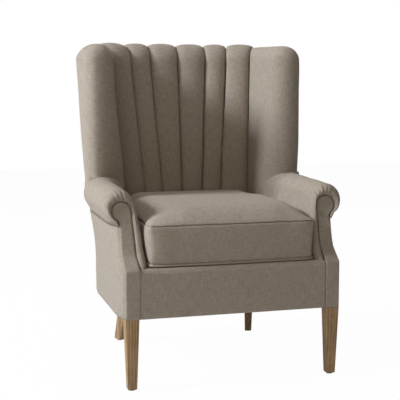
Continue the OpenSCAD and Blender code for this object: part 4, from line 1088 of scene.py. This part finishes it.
def apron_grids():
    profile = [(0.0, LEG_H), (0.0, LEG_H + 4)]
    profile += [(0.0, z) for z in np.linspace(LEG_H + 14, APRON_Z - APRON_R, 12)]
    for a in np.radians(np.linspace(176, 90, 12)):
        profile.append((APRON_R * (1 + math.cos(a)), APRON_Z - APRON_R * (1 - math.sin(a))))
    profile += [(y, APRON_Z) for y in np.linspace(26, APRON_TOP_D, 8)]
    back_line = []
    for y, z in profile:
        back_line.append((9.0, z) if z < RAIL_TOP else (max(9.0, y), max(RAIL_TOP, z - 14)))
    half = FACING_X0 - FIT
    xs = np.linspace(-half, half, 90)
    front = np.array([[(x, y, z) for x in xs] for y, z in profile])
    back = np.array([[(x, y, z) for x in xs] for y, z in back_line])
    return front, back


# Seat cushion


def cushion_outline(depth, r=34.0):
    w, b = CUSHION_HALF - depth, CUSHION_REAR_HALF - depth
    y0, y1, back_r = CUSHION_FRONT + depth, CUSHION_REAR - depth, 34.0
    turn = CUSHION_TURN
    points = [(w * 0.16, y0 - 3.9), (w * 0.33, y0 - 3.6), (w * 0.66, y0 - 2.0)]
    for a in np.radians((-90, -67.5, -45, -22.5, 0)):
        points.append((w - r + r * math.cos(a), y0 + r + r * math.sin(a)))
    points += [(w, mix(y0 + r, turn - w + b, t)) for t in (0.25, 0.5, 0.75, 1.0)]
    points += [(mix(w, b, 0.5), turn - (w - b) * 0.35), (b, turn + 3)]
    points += [(b, mix(turn, y1 - back_r, 0.5))]
    for a in np.radians((0, 30, 60, 90)):
        points.append((b - back_r + back_r * math.cos(a), y1 - back_r + back_r * math.sin(a)))
    points += [(b * 0.5, y1 + 9.8), (b * 0.2, y1 + 14.0)]
    return np.array(points)


def cushion_loop(depth, r=34.0):
    half = cushion_outline(depth, r)
    return np.vstack([half, half[::-1] * (-1, 1), half[:1]])


def cushion_ring(depth, r=34.0, count=300):
    """Ring of the cushion with its points at the same share of each side, from front to back."""
    loop = cushion_loop(depth, r)
    places = np.linspace(0, len(loop) - 1, 3000)
    fine, even = bend(loop, places), bend(cushion_loop(0), places)
    run = np.concatenate([[0], np.cumsum(np.linalg.norm(np.diff(even, axis=0), axis=1))])
    wanted = np.interp(np.linspace(0, run[-1], count, endpoint=False), run, places)
    return np.column_stack([np.interp(wanted, places, fine[:, k]) for k in (0, 1)])


def crown_height(p):
    """Rise of the stuffed top over the seam: quick at the sides and back, slower in front."""
    near = mix(CUSHION_HALF, CUSHION_REAR_HALF, within((p[1] - 395) / 32)) - abs(p[0])
    side = within(near / 72.0)
    ahead = within((p[1] - 16.0) / mix(270.0, 120.0, within(near / 110.0)))
    rear = within((604.0 - p[1]) / 50.0)
    rise = (1 - (1 - ahead) ** 2.6) * (1 - (1 - side) ** 3.0) * (1 - (1 - rear) ** 3)
    return CROWN * rise


# Height over the underside, depth inside the outline and corner radius of each ring of the boxing
BOXING = (
    (0.6, 9.5, 18.0), (2.5, 6.0, 15.0), (5.2, 3.6, 12.0), (7.4, 3.0, 11.0), (9.4, 5.6, 12.0),
    (10.6, 6.4, 13.0), (12.0, 3.8, 15.0), (16.0, 2.8, 18.0), (22.0, 1.6, 20.0), (32.0, 0.6, 22.0),
    (44.0, -0.4, 24.0), (58.0, -1.3, 25.0), (74.0, -2.0, 24.0), (88.0, -2.2, 22.0), (99.0, -1.9, 18.0),
    (107.0, -1.1, 14.0), (112.0, -0.1, 11.0), (115.0, 1.1, 9.0), (116.2, 2.4, 8.0), (116.9, 4.8, 7.5),
    (117.5, 6.0, 7.0),
)
# Shares of the way from the top seam to the middle of the crown
CROWN_SHARES = (
    0.006, 0.013, 0.022, 0.034, 0.05, 0.07, 0.095, 0.125, 0.16, 0.2, 0.25, 0.31, 0.38, 0.46, 0.55,
    0.65, 0.75, 0.85, 0.94,
)


def cushion_rings():
    """Rings of the cushion from its underside to the middle of its crown."""
    long = CUSHION_REAR - CUSHION_FRONT
    centre = np.array([0, CUSHION_FRONT + long * 0.6])
    base = cushion_ring(13.0, 24.0)
    rings = [lift(centre + (base - centre) * t, CUSHION_Z0) for t in (0.12, 0.4, 0.65, 0.85, 0.95, 1)]
    for z, depth, r in BOXING:
        ring = lift(cushion_ring(depth, r), CUSHION_Z0 + z)
        hang = ((44.0 - ring[:, 1]) / 26.0).clip(0, 1) * within((34.0 - z) / 24.0)
        ring[:, 2] -= FRONT_HANG * hang * hang * (3 - 2 * hang)
        rings.append(ring)
    rings.append(lift(cushion_ring(5.6, 7.0), CUSHION_Z1 + 0.6))
    rings.append(lift(cushion_ring(3.0, 7.5), CUSHION_Z1 + 1.0))
    rim = cushion_ring(1.8, 8.0)
    centre = np.array([0, CUSHION_FRONT + long * 0.55])
    for t in CROWN_SHARES:
        plan = rim + (centre - rim) * t
        ring = lift(plan, CUSHION_Z1)
        ring[:, 2] += np.array([crown_height(p) for p in plan]) + 1.2 + 60 * min(t, 0.03)
        rings.append(ring)
    return rings


def cushion_mesh(name):
    rings = cushion_rings()
    count = len(rings[0])
    points = np.vstack(rings)
    faces = []
    for j in range(len(rings) - 1):
        for i in range(count):
            a, b = j * count + i, j * count + (i + 1) % count
            faces.append((a, b, b + count, a + count))
    last = (len(rings) - 1) * count
    points = np.vstack([points, rings[0].mean(axis=0), rings[-1].mean(axis=0)])
    for i in range(count):
        faces.append((i, (i + 1) % count, len(points) - 2))
        faces.append((last + i, last + (i + 1) % count, len(points) - 1))
    return mesh_from(name, points, faces)


# Settings of the cloth simulation that stuffs the cushion
STUFFING = {
    "quality": 6,
    "mass": 0.25,
    "tension_stiffness": 12,
    "compression_stiffness": 12,
    "bending_stiffness": 1.5,
    "use_pressure": True,
    "uniform_pressure_force": 4.0,
}


def stuff_cushion(mesh, cap_up, cap_out):
    """Blows a copy of the cushion up as cloth and gives its swelling, within limits, to the mesh."""
    scene = bpy.context.scene
    ob = bpy.data.objects.new("stuffing", mesh.copy())
    scene.collection.objects.link(ob)
    remesh = ob.modifiers.new("even", "REMESH")
    remesh.mode = "VOXEL"
    remesh.voxel_size = 0.006
    graph = bpy.context.evaluated_depsgraph_get()
    even = bpy.data.meshes.new_from_object(ob.evaluated_get(graph), depsgraph=graph)
    ob.modifiers.clear()
    ob.data = even
    start = np.array([v.co for v in even.vertices])
    cloth = ob.modifiers.new("cloth", "CLOTH")
    for key, value in STUFFING.items():
        setattr(cloth.settings, key, value)
    cloth.settings.effector_weights.gravity = 0.0
    cloth.collision_settings.use_self_collision = False
    cloth.point_cache.frame_start = 1
    cloth.point_cache.frame_end = 20
    for step in range(1, 21):
        scene.frame_set(step)
    graph = bpy.context.evaluated_depsgraph_get()
    blown = np.array([v.co for v in ob.evaluated_get(graph).data.vertices])
    scene.frame_set(1)
    bpy.data.objects.remove(ob)
    tree = KDTree(len(start))
    for k, place in enumerate(start):
        tree.insert(place, k)
    tree.balance()
    move = blown - start
    low = CUSHION_Z0 * 0.001
    for v in mesh.vertices:
        near = [k for _, k, _ in tree.find_n(v.co, 24)]
        shift = move[near].mean(axis=0)
        share = within((v.co.z - low - 0.012) / 0.03)
        out = min(float(np.linalg.norm(shift[:2])), cap_out)
        way = shift[:2] / max(1e-9, float(np.linalg.norm(shift[:2])))
        v.co.x += way[0] * out * share
        v.co.y += way[1] * out * share
        v.co.z += min(max(shift[2], -0.002), cap_up) * share
    mesh.update()


def on_surface(mesh, points, out):
    """Moves points in metres to the nearest places of a mesh, and out of it by a distance."""
    tree = BVHTree.FromPolygons([v.co for v in mesh.vertices], [p.vertices for p in mesh.polygons])
    placed = []
    for p in points:
        spot, normal, _, _ = tree.find_nearest(Vector(p))
        placed.append(spot + normal * out)
    return placed


# Sizes and colours that a user would change


class ChairCloth(PropertyGroup):
    warp: FloatVectorProperty(
        name="Warp colour",
        description="Colour of the yarn that runs up the cloth",
        subtype="COLOR",
        size=3,
        min=0,
        max=1,
        default=(0.40, 0.345, 0.285),
    )
    weft: FloatVectorProperty(
        name="Weft colour",
        description="Colour of the yarn that runs across the cloth",
        subtype="COLOR",
        size=3,
        min=0,
        max=1,
        default=(0.29, 0.245, 0.20),
    )
    thread_pitch: FloatProperty(
        name="Thread pitch",
        description="Distance from one thread to the next",
        subtype="DISTANCE",
        unit="LENGTH",
        min=0.0004,
        max=0.004,
        default=0.0011,
    )
    slub: FloatProperty(
        name="Slub",
        description="How much the yarn varies in thickness and shade",
        subtype="FACTOR",
        min=0,
        max=0.5,
        default=0.2,
    )


class ChairWood(PropertyGroup):
    light: FloatVectorProperty(
        name="Light grain",
        description="Lightest colour of the legs' wood",
        subtype="COLOR",
        size=3,
        min=0,
        max=1,
        default=(0.43, 0.265, 0.115),
    )
    dark: FloatVectorProperty(
        name="Dark grain",
        description="Darkest colour of the legs' wood",
        subtype="COLOR",
        size=3,
        min=0,
        max=1,
        default=(0.17, 0.095, 0.038),
    )
    worn: FloatVectorProperty(
        name="Worn edges",
        description="Colour of the wood where its edges are rubbed",
        subtype="COLOR",
        size=3,
        min=0,
        max=1,
        default=(0.55, 0.40, 0.25),
    )
    edge: FloatProperty(
        name="Leg edge",
        description="Rounding of the legs' edges",
        subtype="DISTANCE",
        unit="LENGTH",
        min=0.0002,
        max=0.005,
        default=0.0018,
    )


class ChairSewing(PropertyGroup):
    pucker: FloatProperty(
        name="Gathers",
        description="Depth of the small gathers along the channels' seams, in millimetres",
        min=0,
        max=4,
        default=1.6,
    )
    sew_in: FloatProperty(
        name="Channel seam depth",
        description="How far the channels' seams are pulled in, in millimetres",
        min=0,
        max=5,
        default=2.5,
    )
    pleat: FloatProperty(
        name="Arm pleats",
        description="Depth of the pleats round the scrolls, in millimetres",
        min=0,
        max=8,
        default=5.0,
    )
    panel_edge: FloatProperty(
        name="Panel edge",
        description="Radius at which the outside panels fold under, in millimetres",
        min=0.5,
        max=6,
        default=3.0,
    )
    welt: FloatProperty(
        name="Cushion welt",
        description="Radius of the welt along the cushion's lower edge",
        subtype="DISTANCE",
        unit="LENGTH",
        min=0.0008,
        max=0.004,
        default=0.0032,
    )
    stuffing: IntProperty(
        name="Stuffing rise",
        description="How far the stuffing may raise the cushion's top, in millimetres",
        min=0,
        max=12,
        default=3,
    )


class ChairStage(PropertyGroup):
    floor_size: FloatProperty(
        name="Floor size",
        description="Side of the square floor",
        subtype="DISTANCE",
        unit="LENGTH",
        min=4,
        max=40,
        default=16,
    )
    key_light: FloatProperty(
        name="Key light",
        description="Power of the light on the left",
        subtype="POWER",
        unit="POWER",
        min=0,
        max=1000,
        default=318,
    )
    fill_light: FloatProperty(
        name="Fill light",
        description="Power of the light over the front",
        subtype="POWER",
        unit="POWER",
        min=0,
        max=1000,
        default=32,
    )


# Operators, one for each group of pieces


def spoken(side):
    return "right" if side > 0 else "left"


def linen_piece(label, mesh, nodes, body="chair"):
    ob = new_piece(label, mesh, finish("linen"), body, nodes)


def side_piece(name, node, front, back, side):
    """One of a mirrored pair of stuffed pieces, in place of the solid of the same side."""
    label = f"{name}_{spoken(side)}"
    mesh = skin(label, front, back, mirrored=side < 0)
    linen_piece(label, mesh, (f"{node}_{spoken(side)}",))


class CHAIR_OT_legs(Operator):
    """Four tapered oak legs with eased edges"""

    bl_idname = "chair.legs"
    bl_label = "Legs"

    def leg(self, name, rings, side):
        mesh = bpy.data.meshes.new(name)
        points = to_frame([p for ring in rings for p in ring]) * (side, 1, 1)
        faces = [(0, 1, 2, 3), tuple(range(len(points) - 4, len(points)))]
        for j in range(0, len(points) - 4, 4):
            for i in range(4):
                a, b = j + i, j + (i + 1) % 4
                faces.append((a, b, b + 4, a + 4))
        mesh.from_pydata([tuple(p) for p in points], [], faces)
        bm = bmesh.new()
        bm.from_mesh(mesh)
        bmesh.ops.recalc_face_normals(bm, faces=bm.faces)
        sharp = [e for e in bm.edges if len(e.link_faces) == 2 and e.calc_face_angle() > 0.5]
        edge = bpy.context.scene.chair_wood.edge
        bmesh.ops.bevel(bm, geom=sharp, offset=edge, segments=3, profile=0.5, affect="EDGES")
        bm.to_mesh(mesh)
        bm.free()
        mesh.polygons.foreach_set("use_smooth", [True] * len(mesh.polygons))
        mesh.set_sharp_from_angle(angle=math.radians(28))
        box_cloth(mesh)
        new_piece(f"oak_{name}", mesh, finish("oiled_oak"), "chair", (name,))

    def execute(self, context):
        front, rear = [], []
        corners = ((-1, -1), (1, -1), (1, 1), (-1, 1))
        for t in np.linspace(0, 1, 5):
            w, z = mix(21.0, 14.0, t), mix(LEG_H, LEG_FOOT_Z, t)
            front.append([(FRONT_LEG[0] + a * w, FRONT_LEG[1] + b * w, z) for a, b in corners])
        turn = math.radians(REAR_LEG_TURN)
        for t in np.linspace(0, 1, 12):
            cx, cy = mix(REAR_LEG[0], REAR_FOOT[0], t), mix(REAR_LEG[1], REAR_FOOT[1], t)
            w, d = mix(36, 24, t) / 2, mix(62, 39, math.sqrt(t)) / 2
            ring = []
            for a, b in corners:
                x = cx + a * w * math.cos(turn) + b * d * math.sin(turn)
                y = cy - a * w * math.sin(turn) + b * d * math.cos(turn)
                ring.append((x, y, mix(LEG_H, LEG_FOOT_Z, t)))
            rear.append(ring)
        for side in (-1, 1):
            self.leg(f"leg_front_{spoken(side)}", front, side)
            self.leg(f"leg_rear_{spoken(side)}", rear, side)
        return {"FINISHED"}


class CHAIR_OT_frame(Operator):
    """Finishes of the wooden frame, its metal parts and the glides"""

    bl_idname = "chair.frame"
    bl_label = "Frame"

    def execute(self, context):
        wanted = {part["node"]: part["material_slot"] for part in frame["record"]["subparts"]}
        for node, ob in frame["nodes"].items():
            kind = SOLID_FINISHES.get(wanted[node])
            if kind:
                ob.data.materials.clear()
                ob.data.materials.append(finish(kind))
        return {"FINISHED"}


class CHAIR_OT_channels(Operator):
    """Six stuffed channels of the inside back"""

    bl_idname = "chair.channels"
    bl_label = "Back channels"

    def execute(self, context):
        sewing = context.scene.chair_sewing
        for number in range(1, 7):
            name = f"channel_{number}"
            front, back = channel_grids(number - 1, sewing.pucker, sewing.sew_in)
            front = stuffed(front, (0, 900, 700), 0.9, 70.0, number * 3.1)
            linen_piece(name, skin(name, front, back), (f"back_channel_{number}",))
        return {"FINISHED"}


class CHAIR_OT_wings(Operator):
    """Padded wings with a rolled front and a domed top"""

    bl_idname = "chair.wings"
    bl_label = "Wings"

    def execute(self, context):
        front, back = wing_grids()
        front = stuffed(front, (330, 520, 760), 1.1, 95.0, 4.0)
        for side in (-1, 1):
            side_piece("wing", "wing_pad", front, back, side)
        return {"FINISHED"}


class CHAIR_OT_arms(Operator):
    """Rolled arms with pleats round their scrolls, and the facings"""

    bl_idname = "chair.arms"
    bl_label = "Arms"

    def execute(self, context):
        front, back = arm_grids(context.scene.chair_sewing.pleat)
        front = stuffed(front, ARM_MIDDLE, 0.9, 60.0, 9.0)
        face, rear = facing_grids()
        for side in (-1, 1):
            side_piece("rolled_arm", "arm_pad", front, back, side)
            side_piece("scroll_facing", "arm_facing", face, rear, side)
        return {"FINISHED"}


class CHAIR_OT_outside(Operator):
    """Outside covers of the arms, wings and back"""

    bl_idname = "chair.outside"
    bl_label = "Outside covers"

    def execute(self, context):
        radius = context.scene.chair_sewing.panel_edge
        panels = [
            ("outside_arm", outside_arm_grid(), ("first", "last", "low"), (0, 300, 400)),
            ("outside_wing", outside_wing_grid(), ("last", "low"), (0, 300, 750)),
        ]
        for name, grid, edges, inside in panels:
            normals = outward_normals(grid, inside)
            grid = roll_edges(grid, normals, edges, radius)
            if name == "outside_wing":
                grid = roll_edges(grid, normals, ("high",), radius * 0.4)
                grid = roll_edges(grid, normals, ("first",), radius * 0.9)
            grid = uneven(grid, normals, 0.6, 120.0, 2.0)
            for side in (-1, 1):
                side_piece(f"{name}_cover", name, grid, grid - normals * PANEL_T, side)
        grid = outside_back_grid()
        normals = outward_normals(grid, (0, 300, 600))
        grid = roll_edges(grid, normals, ("first", "last", "low", "high"), radius)
        grid = uneven(grid, normals, 0.8, 150.0, 6.0)
        mesh = skin("outside_back_cover", grid, grid - normals * PANEL_T)
        linen_piece("outside_back_cover", mesh, ("outside_back",))
        return {"FINISHED"}


class CHAIR_OT_apron(Operator):
    """Front apron with its padded top edge"""

    bl_idname = "chair.apron"
    bl_label = "Apron"

    def execute(self, context):
        front, back = apron_grids()
        normals = outward_normals(front, (0, 60, 250))
        front = roll_edges(front, normals, ("first", "last", "low"), 1.0)
        front = uneven(front, normals, 0.7, 110.0, 5.0)
        linen_piece("apron_cover", skin("apron_cover", front, back), ("front_apron",))
        return {"FINISHED"}


class CHAIR_OT_cushion(Operator):
    """Loose seat cushion with its boxing seams, welt and zip"""

    bl_idname = "chair.cushion"
    bl_label = "Seat cushion"

    def execute(self, context):
        sewing = context.scene.chair_sewing
        mesh = cushion_mesh("cushion_cover")
        stuff_cushion(mesh, sewing.stuffing * 0.001, 0.0025)
        box_cloth(mesh)
        nodes = ("seat_cushion_cover", "seat_cushion_foam")
        linen_piece("cushion_cover", mesh, nodes, "cushion")
        ring = lift(cushion_ring(3.4, 11.0, 180), CUSHION_Z0 + 5.0)
        ring[:, 2] -= FRONT_HANG * ((44.0 - ring[:, 1]) / 26.0).clip(0, 1)
        line = on_surface(mesh, to_frame(ring), sewing.welt * 0.1)
        size = {"Radius": sewing.welt, "Step": 0.006}
        along_path("cushion_welt", line, size, "linen", "cushion", closed=True)
        line = to_frame([(x, 640.0, 428.5) for x in np.linspace(-208, 208, 60)])
        line = on_surface(mesh, line, 0.0002)
        size = {"Radius": 0.0035, "Step": 0.008}
        along_path("zip_tape", line, size, "zip_tape", "cushion", nodes=("cushion_zip",))
        line = [p + Vector((0, 0.0034, 0)) for p in line]
        size = {"Step": 0.0024, "Block": (0.0014, 0.0016, 0.0055)}
        along_path("zip_teeth", line, size, "zip_coil", "cushion")
        return {"FINISHED"}


class CHAIR_OT_deck(Operator):
    """Deck under the cushion and the dust cover under the seat"""

    bl_idname = "chair.deck"
    bl_label = "Deck and dust cover"

    def execute(self, context):
        start = APRON_TOP_D + 1.0
        outline = [(FACING_X0, start), (FACING_X0, WING_FRONT)]
        for s in (1.34, 1.5, SEAM_STATION, 1.767, 1.9, 2.4):
            outline.append(tuple(shell(RAIL_TOP, s, WEB_IN + (22 if s < 1.6 else 0))))
        outline = sorted(outline, key=lambda p: p[1])
        ys = np.linspace(start, outline[-1][1], 48)
        reach = np.interp(ys, [p[1] for p in outline], [p[0] for p in outline]) - 0.5
        shares = np.sin(np.linspace(-math.pi / 2, math.pi / 2, 41))
        front, back = [], []
        for k, y in enumerate(ys):
            x = reach[k] * shares
            near = np.minimum(reach[k] - np.abs(x), min(y - ys[0], ys[-1] - y) + 0.5)
            row = np.column_stack([x, np.full(41, y), DECK_Z - 0.4 - 7.0 * np.exp(-near / 9.0)])
            front.append(row)
            back.append(lift(row[:, :2], DECK_UNDER_Z))
        mesh = skin("deck_top", np.array(front), np.array(back))
        ob = new_piece("deck_top", mesh, finish("deck_lining"), "chair", ("deck_pad",))
        self.dust_cover()
        return {"FINISHED"}

    def dust_cover(self):
        ys = np.linspace(12.0, BASE_D - 8.0, 60)
        rows = []
        for y in ys:
            x1 = side_reach(LEG_H, y) - 8.0
            x = np.linspace(-x1, x1, 51)
            near = np.minimum(x1 - np.abs(x), min(y - ys[0], ys[-1] - y))
            sag = 3.5 * (1 - np.exp(-near / 90.0))
            rows.append(np.column_stack([x, np.full(51, y), LEG_H - 0.2 - sag]))
        grid = np.array(rows)
        mesh = skin("underside_lining", grid, grid + (0, 0, 0.6))
        ob = new_piece(
            "underside_lining", mesh, finish("black_lining"), "chair", ("dust_cover",)
        )
        rim = [*grid[0, 2:-2], *grid[2:-2, -1], *grid[-1, -3:1:-1], *grid[-3:1:-1, 0]]
        line = [Vector(p) for p in to_frame([p * (0.985, 1, 1) - (0, 0, 0.2) for p in rim])]
        size = {"Step": 0.032, "Block": (0.009, 0.0012, 0.0012)}
        along_path("lining_staples", line, size, "zinc_steel", "chair", closed=True)


class CHAIR_OT_stage(Operator):
    """Pale floor, soft lights and the camera"""

    bl_idname = "chair.stage"
    bl_label = "Stage"

    def area_light(self, name, place, size, power, colour):
        data = bpy.data.lights.new(name, "AREA")
        data.shape = "RECTANGLE"
        data.size, data.size_y = size
        data.energy = power
        data.color = colour
        ob = bpy.data.objects.new(name, data)
        bpy.context.scene.collection.objects.link(ob)
        ob.location = place
        ob.rotation_euler = (Vector(CHAIR_MIDDLE) - Vector(place)).to_track_quat("-Z", "Y").to_euler()

    def white_where_seen(self, tree, plain, white, share):
        """Mixes a shader with plain white for what the camera, gloss and glass see."""
        n = Nodes(tree)
        rays = n.add("ShaderNodeLightPath")
        seen = n.sum("MAXIMUM", rays.outputs["Is Camera Ray"], rays.outputs["Is Glossy Ray"])
        seen = n.sum("MAXIMUM", seen, rays.outputs["Is Transmission Ray"])
        both = n.add("ShaderNodeMixShader")
        n.join(n.times(seen, share), both.inputs[0])
        n.join(plain.outputs[0], both.inputs[1])
        glow = n.set(n.add(white), Color=(1, 1, 1, 1))
        n.join(glow.outputs[0], both.inputs[2])
        return both.outputs[0]

    def execute(self, context):
        scene = context.scene
        settings = scene.chair_stage
        half = settings.floor_size / 2
        mesh = bpy.data.meshes.new("floor")
        corners = [(-half, -half, 0), (half, -half, 0), (half, half, 0), (-half, half, 0)]
        mesh.from_pydata(corners, [], [(0, 1, 2, 3)])
        floor = bpy.data.objects.new("floor", mesh)
        scene.collection.objects.link(floor)
        material = bpy.data.materials.new("pale_floor")
        material.use_nodes = True
        tree = material.node_tree
        plain = tree.nodes["Principled BSDF"]
        plain.inputs["Base Color"].default_value = (0.86, 0.86, 0.86, 1)
        plain.inputs["Roughness"].default_value = 0.9
        shown = self.white_where_seen(tree, plain, "ShaderNodeEmission", 0.975)
        tree.links.new(shown, tree.nodes["Material Output"].inputs["Surface"])
        mesh.materials.append(material)

        world = bpy.data.worlds.new("studio")
        scene.world = world
        world.use_nodes = True
        tree = world.node_tree
        plain = tree.nodes["Background"]
        plain.inputs["Color"].default_value = (1.0, 0.9, 0.8, 1)
        plain.inputs["Strength"].default_value = 0.03
        shown = self.white_where_seen(tree, plain, "ShaderNodeBackground", 1.0)
        tree.links.new(shown, tree.nodes["World Output"].inputs["Surface"])

        key, fill = settings.key_light, settings.fill_light
        for light in (
            ("key", (-4.6, -0.2, 3.0), (1.1, 1.1), key, (0.88, 0.935, 1.0)),
            ("fill", (-1.6, -3.6, 2.4), (2.4, 1.8), fill, (1.0, 0.9, 0.72)),
            ("top", (0.2, 0.4, 3.4), (2.4, 2.4), 34.0, (1.0, 0.96, 0.98)),
            ("rear", (1.8, 3.6, 1.9), (2.6, 2.0), 34.0, (1.0, 0.95, 0.9)),
        ):
            self.area_light(*light)

        data = bpy.data.cameras.new("camera")
        data.sensor_width = SENSOR_W
        data.lens = SENSOR_W * FOCAL_PIXELS / PICTURE_PIXELS
        camera = bpy.data.objects.new("camera", data)
        scene.collection.objects.link(camera)
        camera.location = CAMERA_PLACE
        yaw, pitch, roll = (math.radians(a) for a in CAMERA_TURN)
        camera.rotation_euler = (math.pi / 2 + pitch, roll, yaw)
        data.clip_end = 60
        scene.camera = camera
        scene.view_settings.view_transform = "Standard"
        return {"FINISHED"}


PARTS = (
    CHAIR_OT_stage,
    CHAIR_OT_frame,
    CHAIR_OT_legs,
    CHAIR_OT_channels,
    CHAIR_OT_wings,
    CHAIR_OT_arms,
    CHAIR_OT_outside,
    CHAIR_OT_apron,
    CHAIR_OT_cushion,
    CHAIR_OT_deck,
)
SETTINGS = (
    ("chair_cloth", ChairCloth),
    ("chair_wood", ChairWood),
    ("chair_sewing", ChairSewing),
    ("chair_stage", ChairStage),
)


class CHAIR_PT_parts(Panel):
    """Lists the chair's settings and pieces"""

    bl_label = "Wingback Chair"
    bl_idname = "CHAIR_PT_parts"
    bl_space_type = "VIEW_3D"
    bl_region_type = "UI"
    bl_category = "Chair"

    def draw(self, context):
        for name, group in SETTINGS:
            box = self.layout.box()
            for key in group.__annotations__:
                box.prop(getattr(context.scene, name), key)
        for part in PARTS:
            self.layout.operator(part.bl_idname)


def register():
    for name, group in SETTINGS:
        bpy.utils.register_class(group)
        setattr(bpy.types.Scene, name, PointerProperty(type=group))
    for part in (*PARTS, CHAIR_PT_parts):
        bpy.utils.register_class(part)


def unregister():
    for part in (CHAIR_PT_parts, *reversed(PARTS)):
        bpy.utils.unregister_class(part)
    for name, group in reversed(SETTINGS):
        delattr(bpy.types.Scene, name)
        bpy.utils.unregister_class(group)


def main():
    register()
    for part in PARTS:
        family, piece = part.bl_idname.split(".")
        getattr(getattr(bpy.ops, family), piece)()
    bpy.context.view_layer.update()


if __name__ == "__main__":
    main()
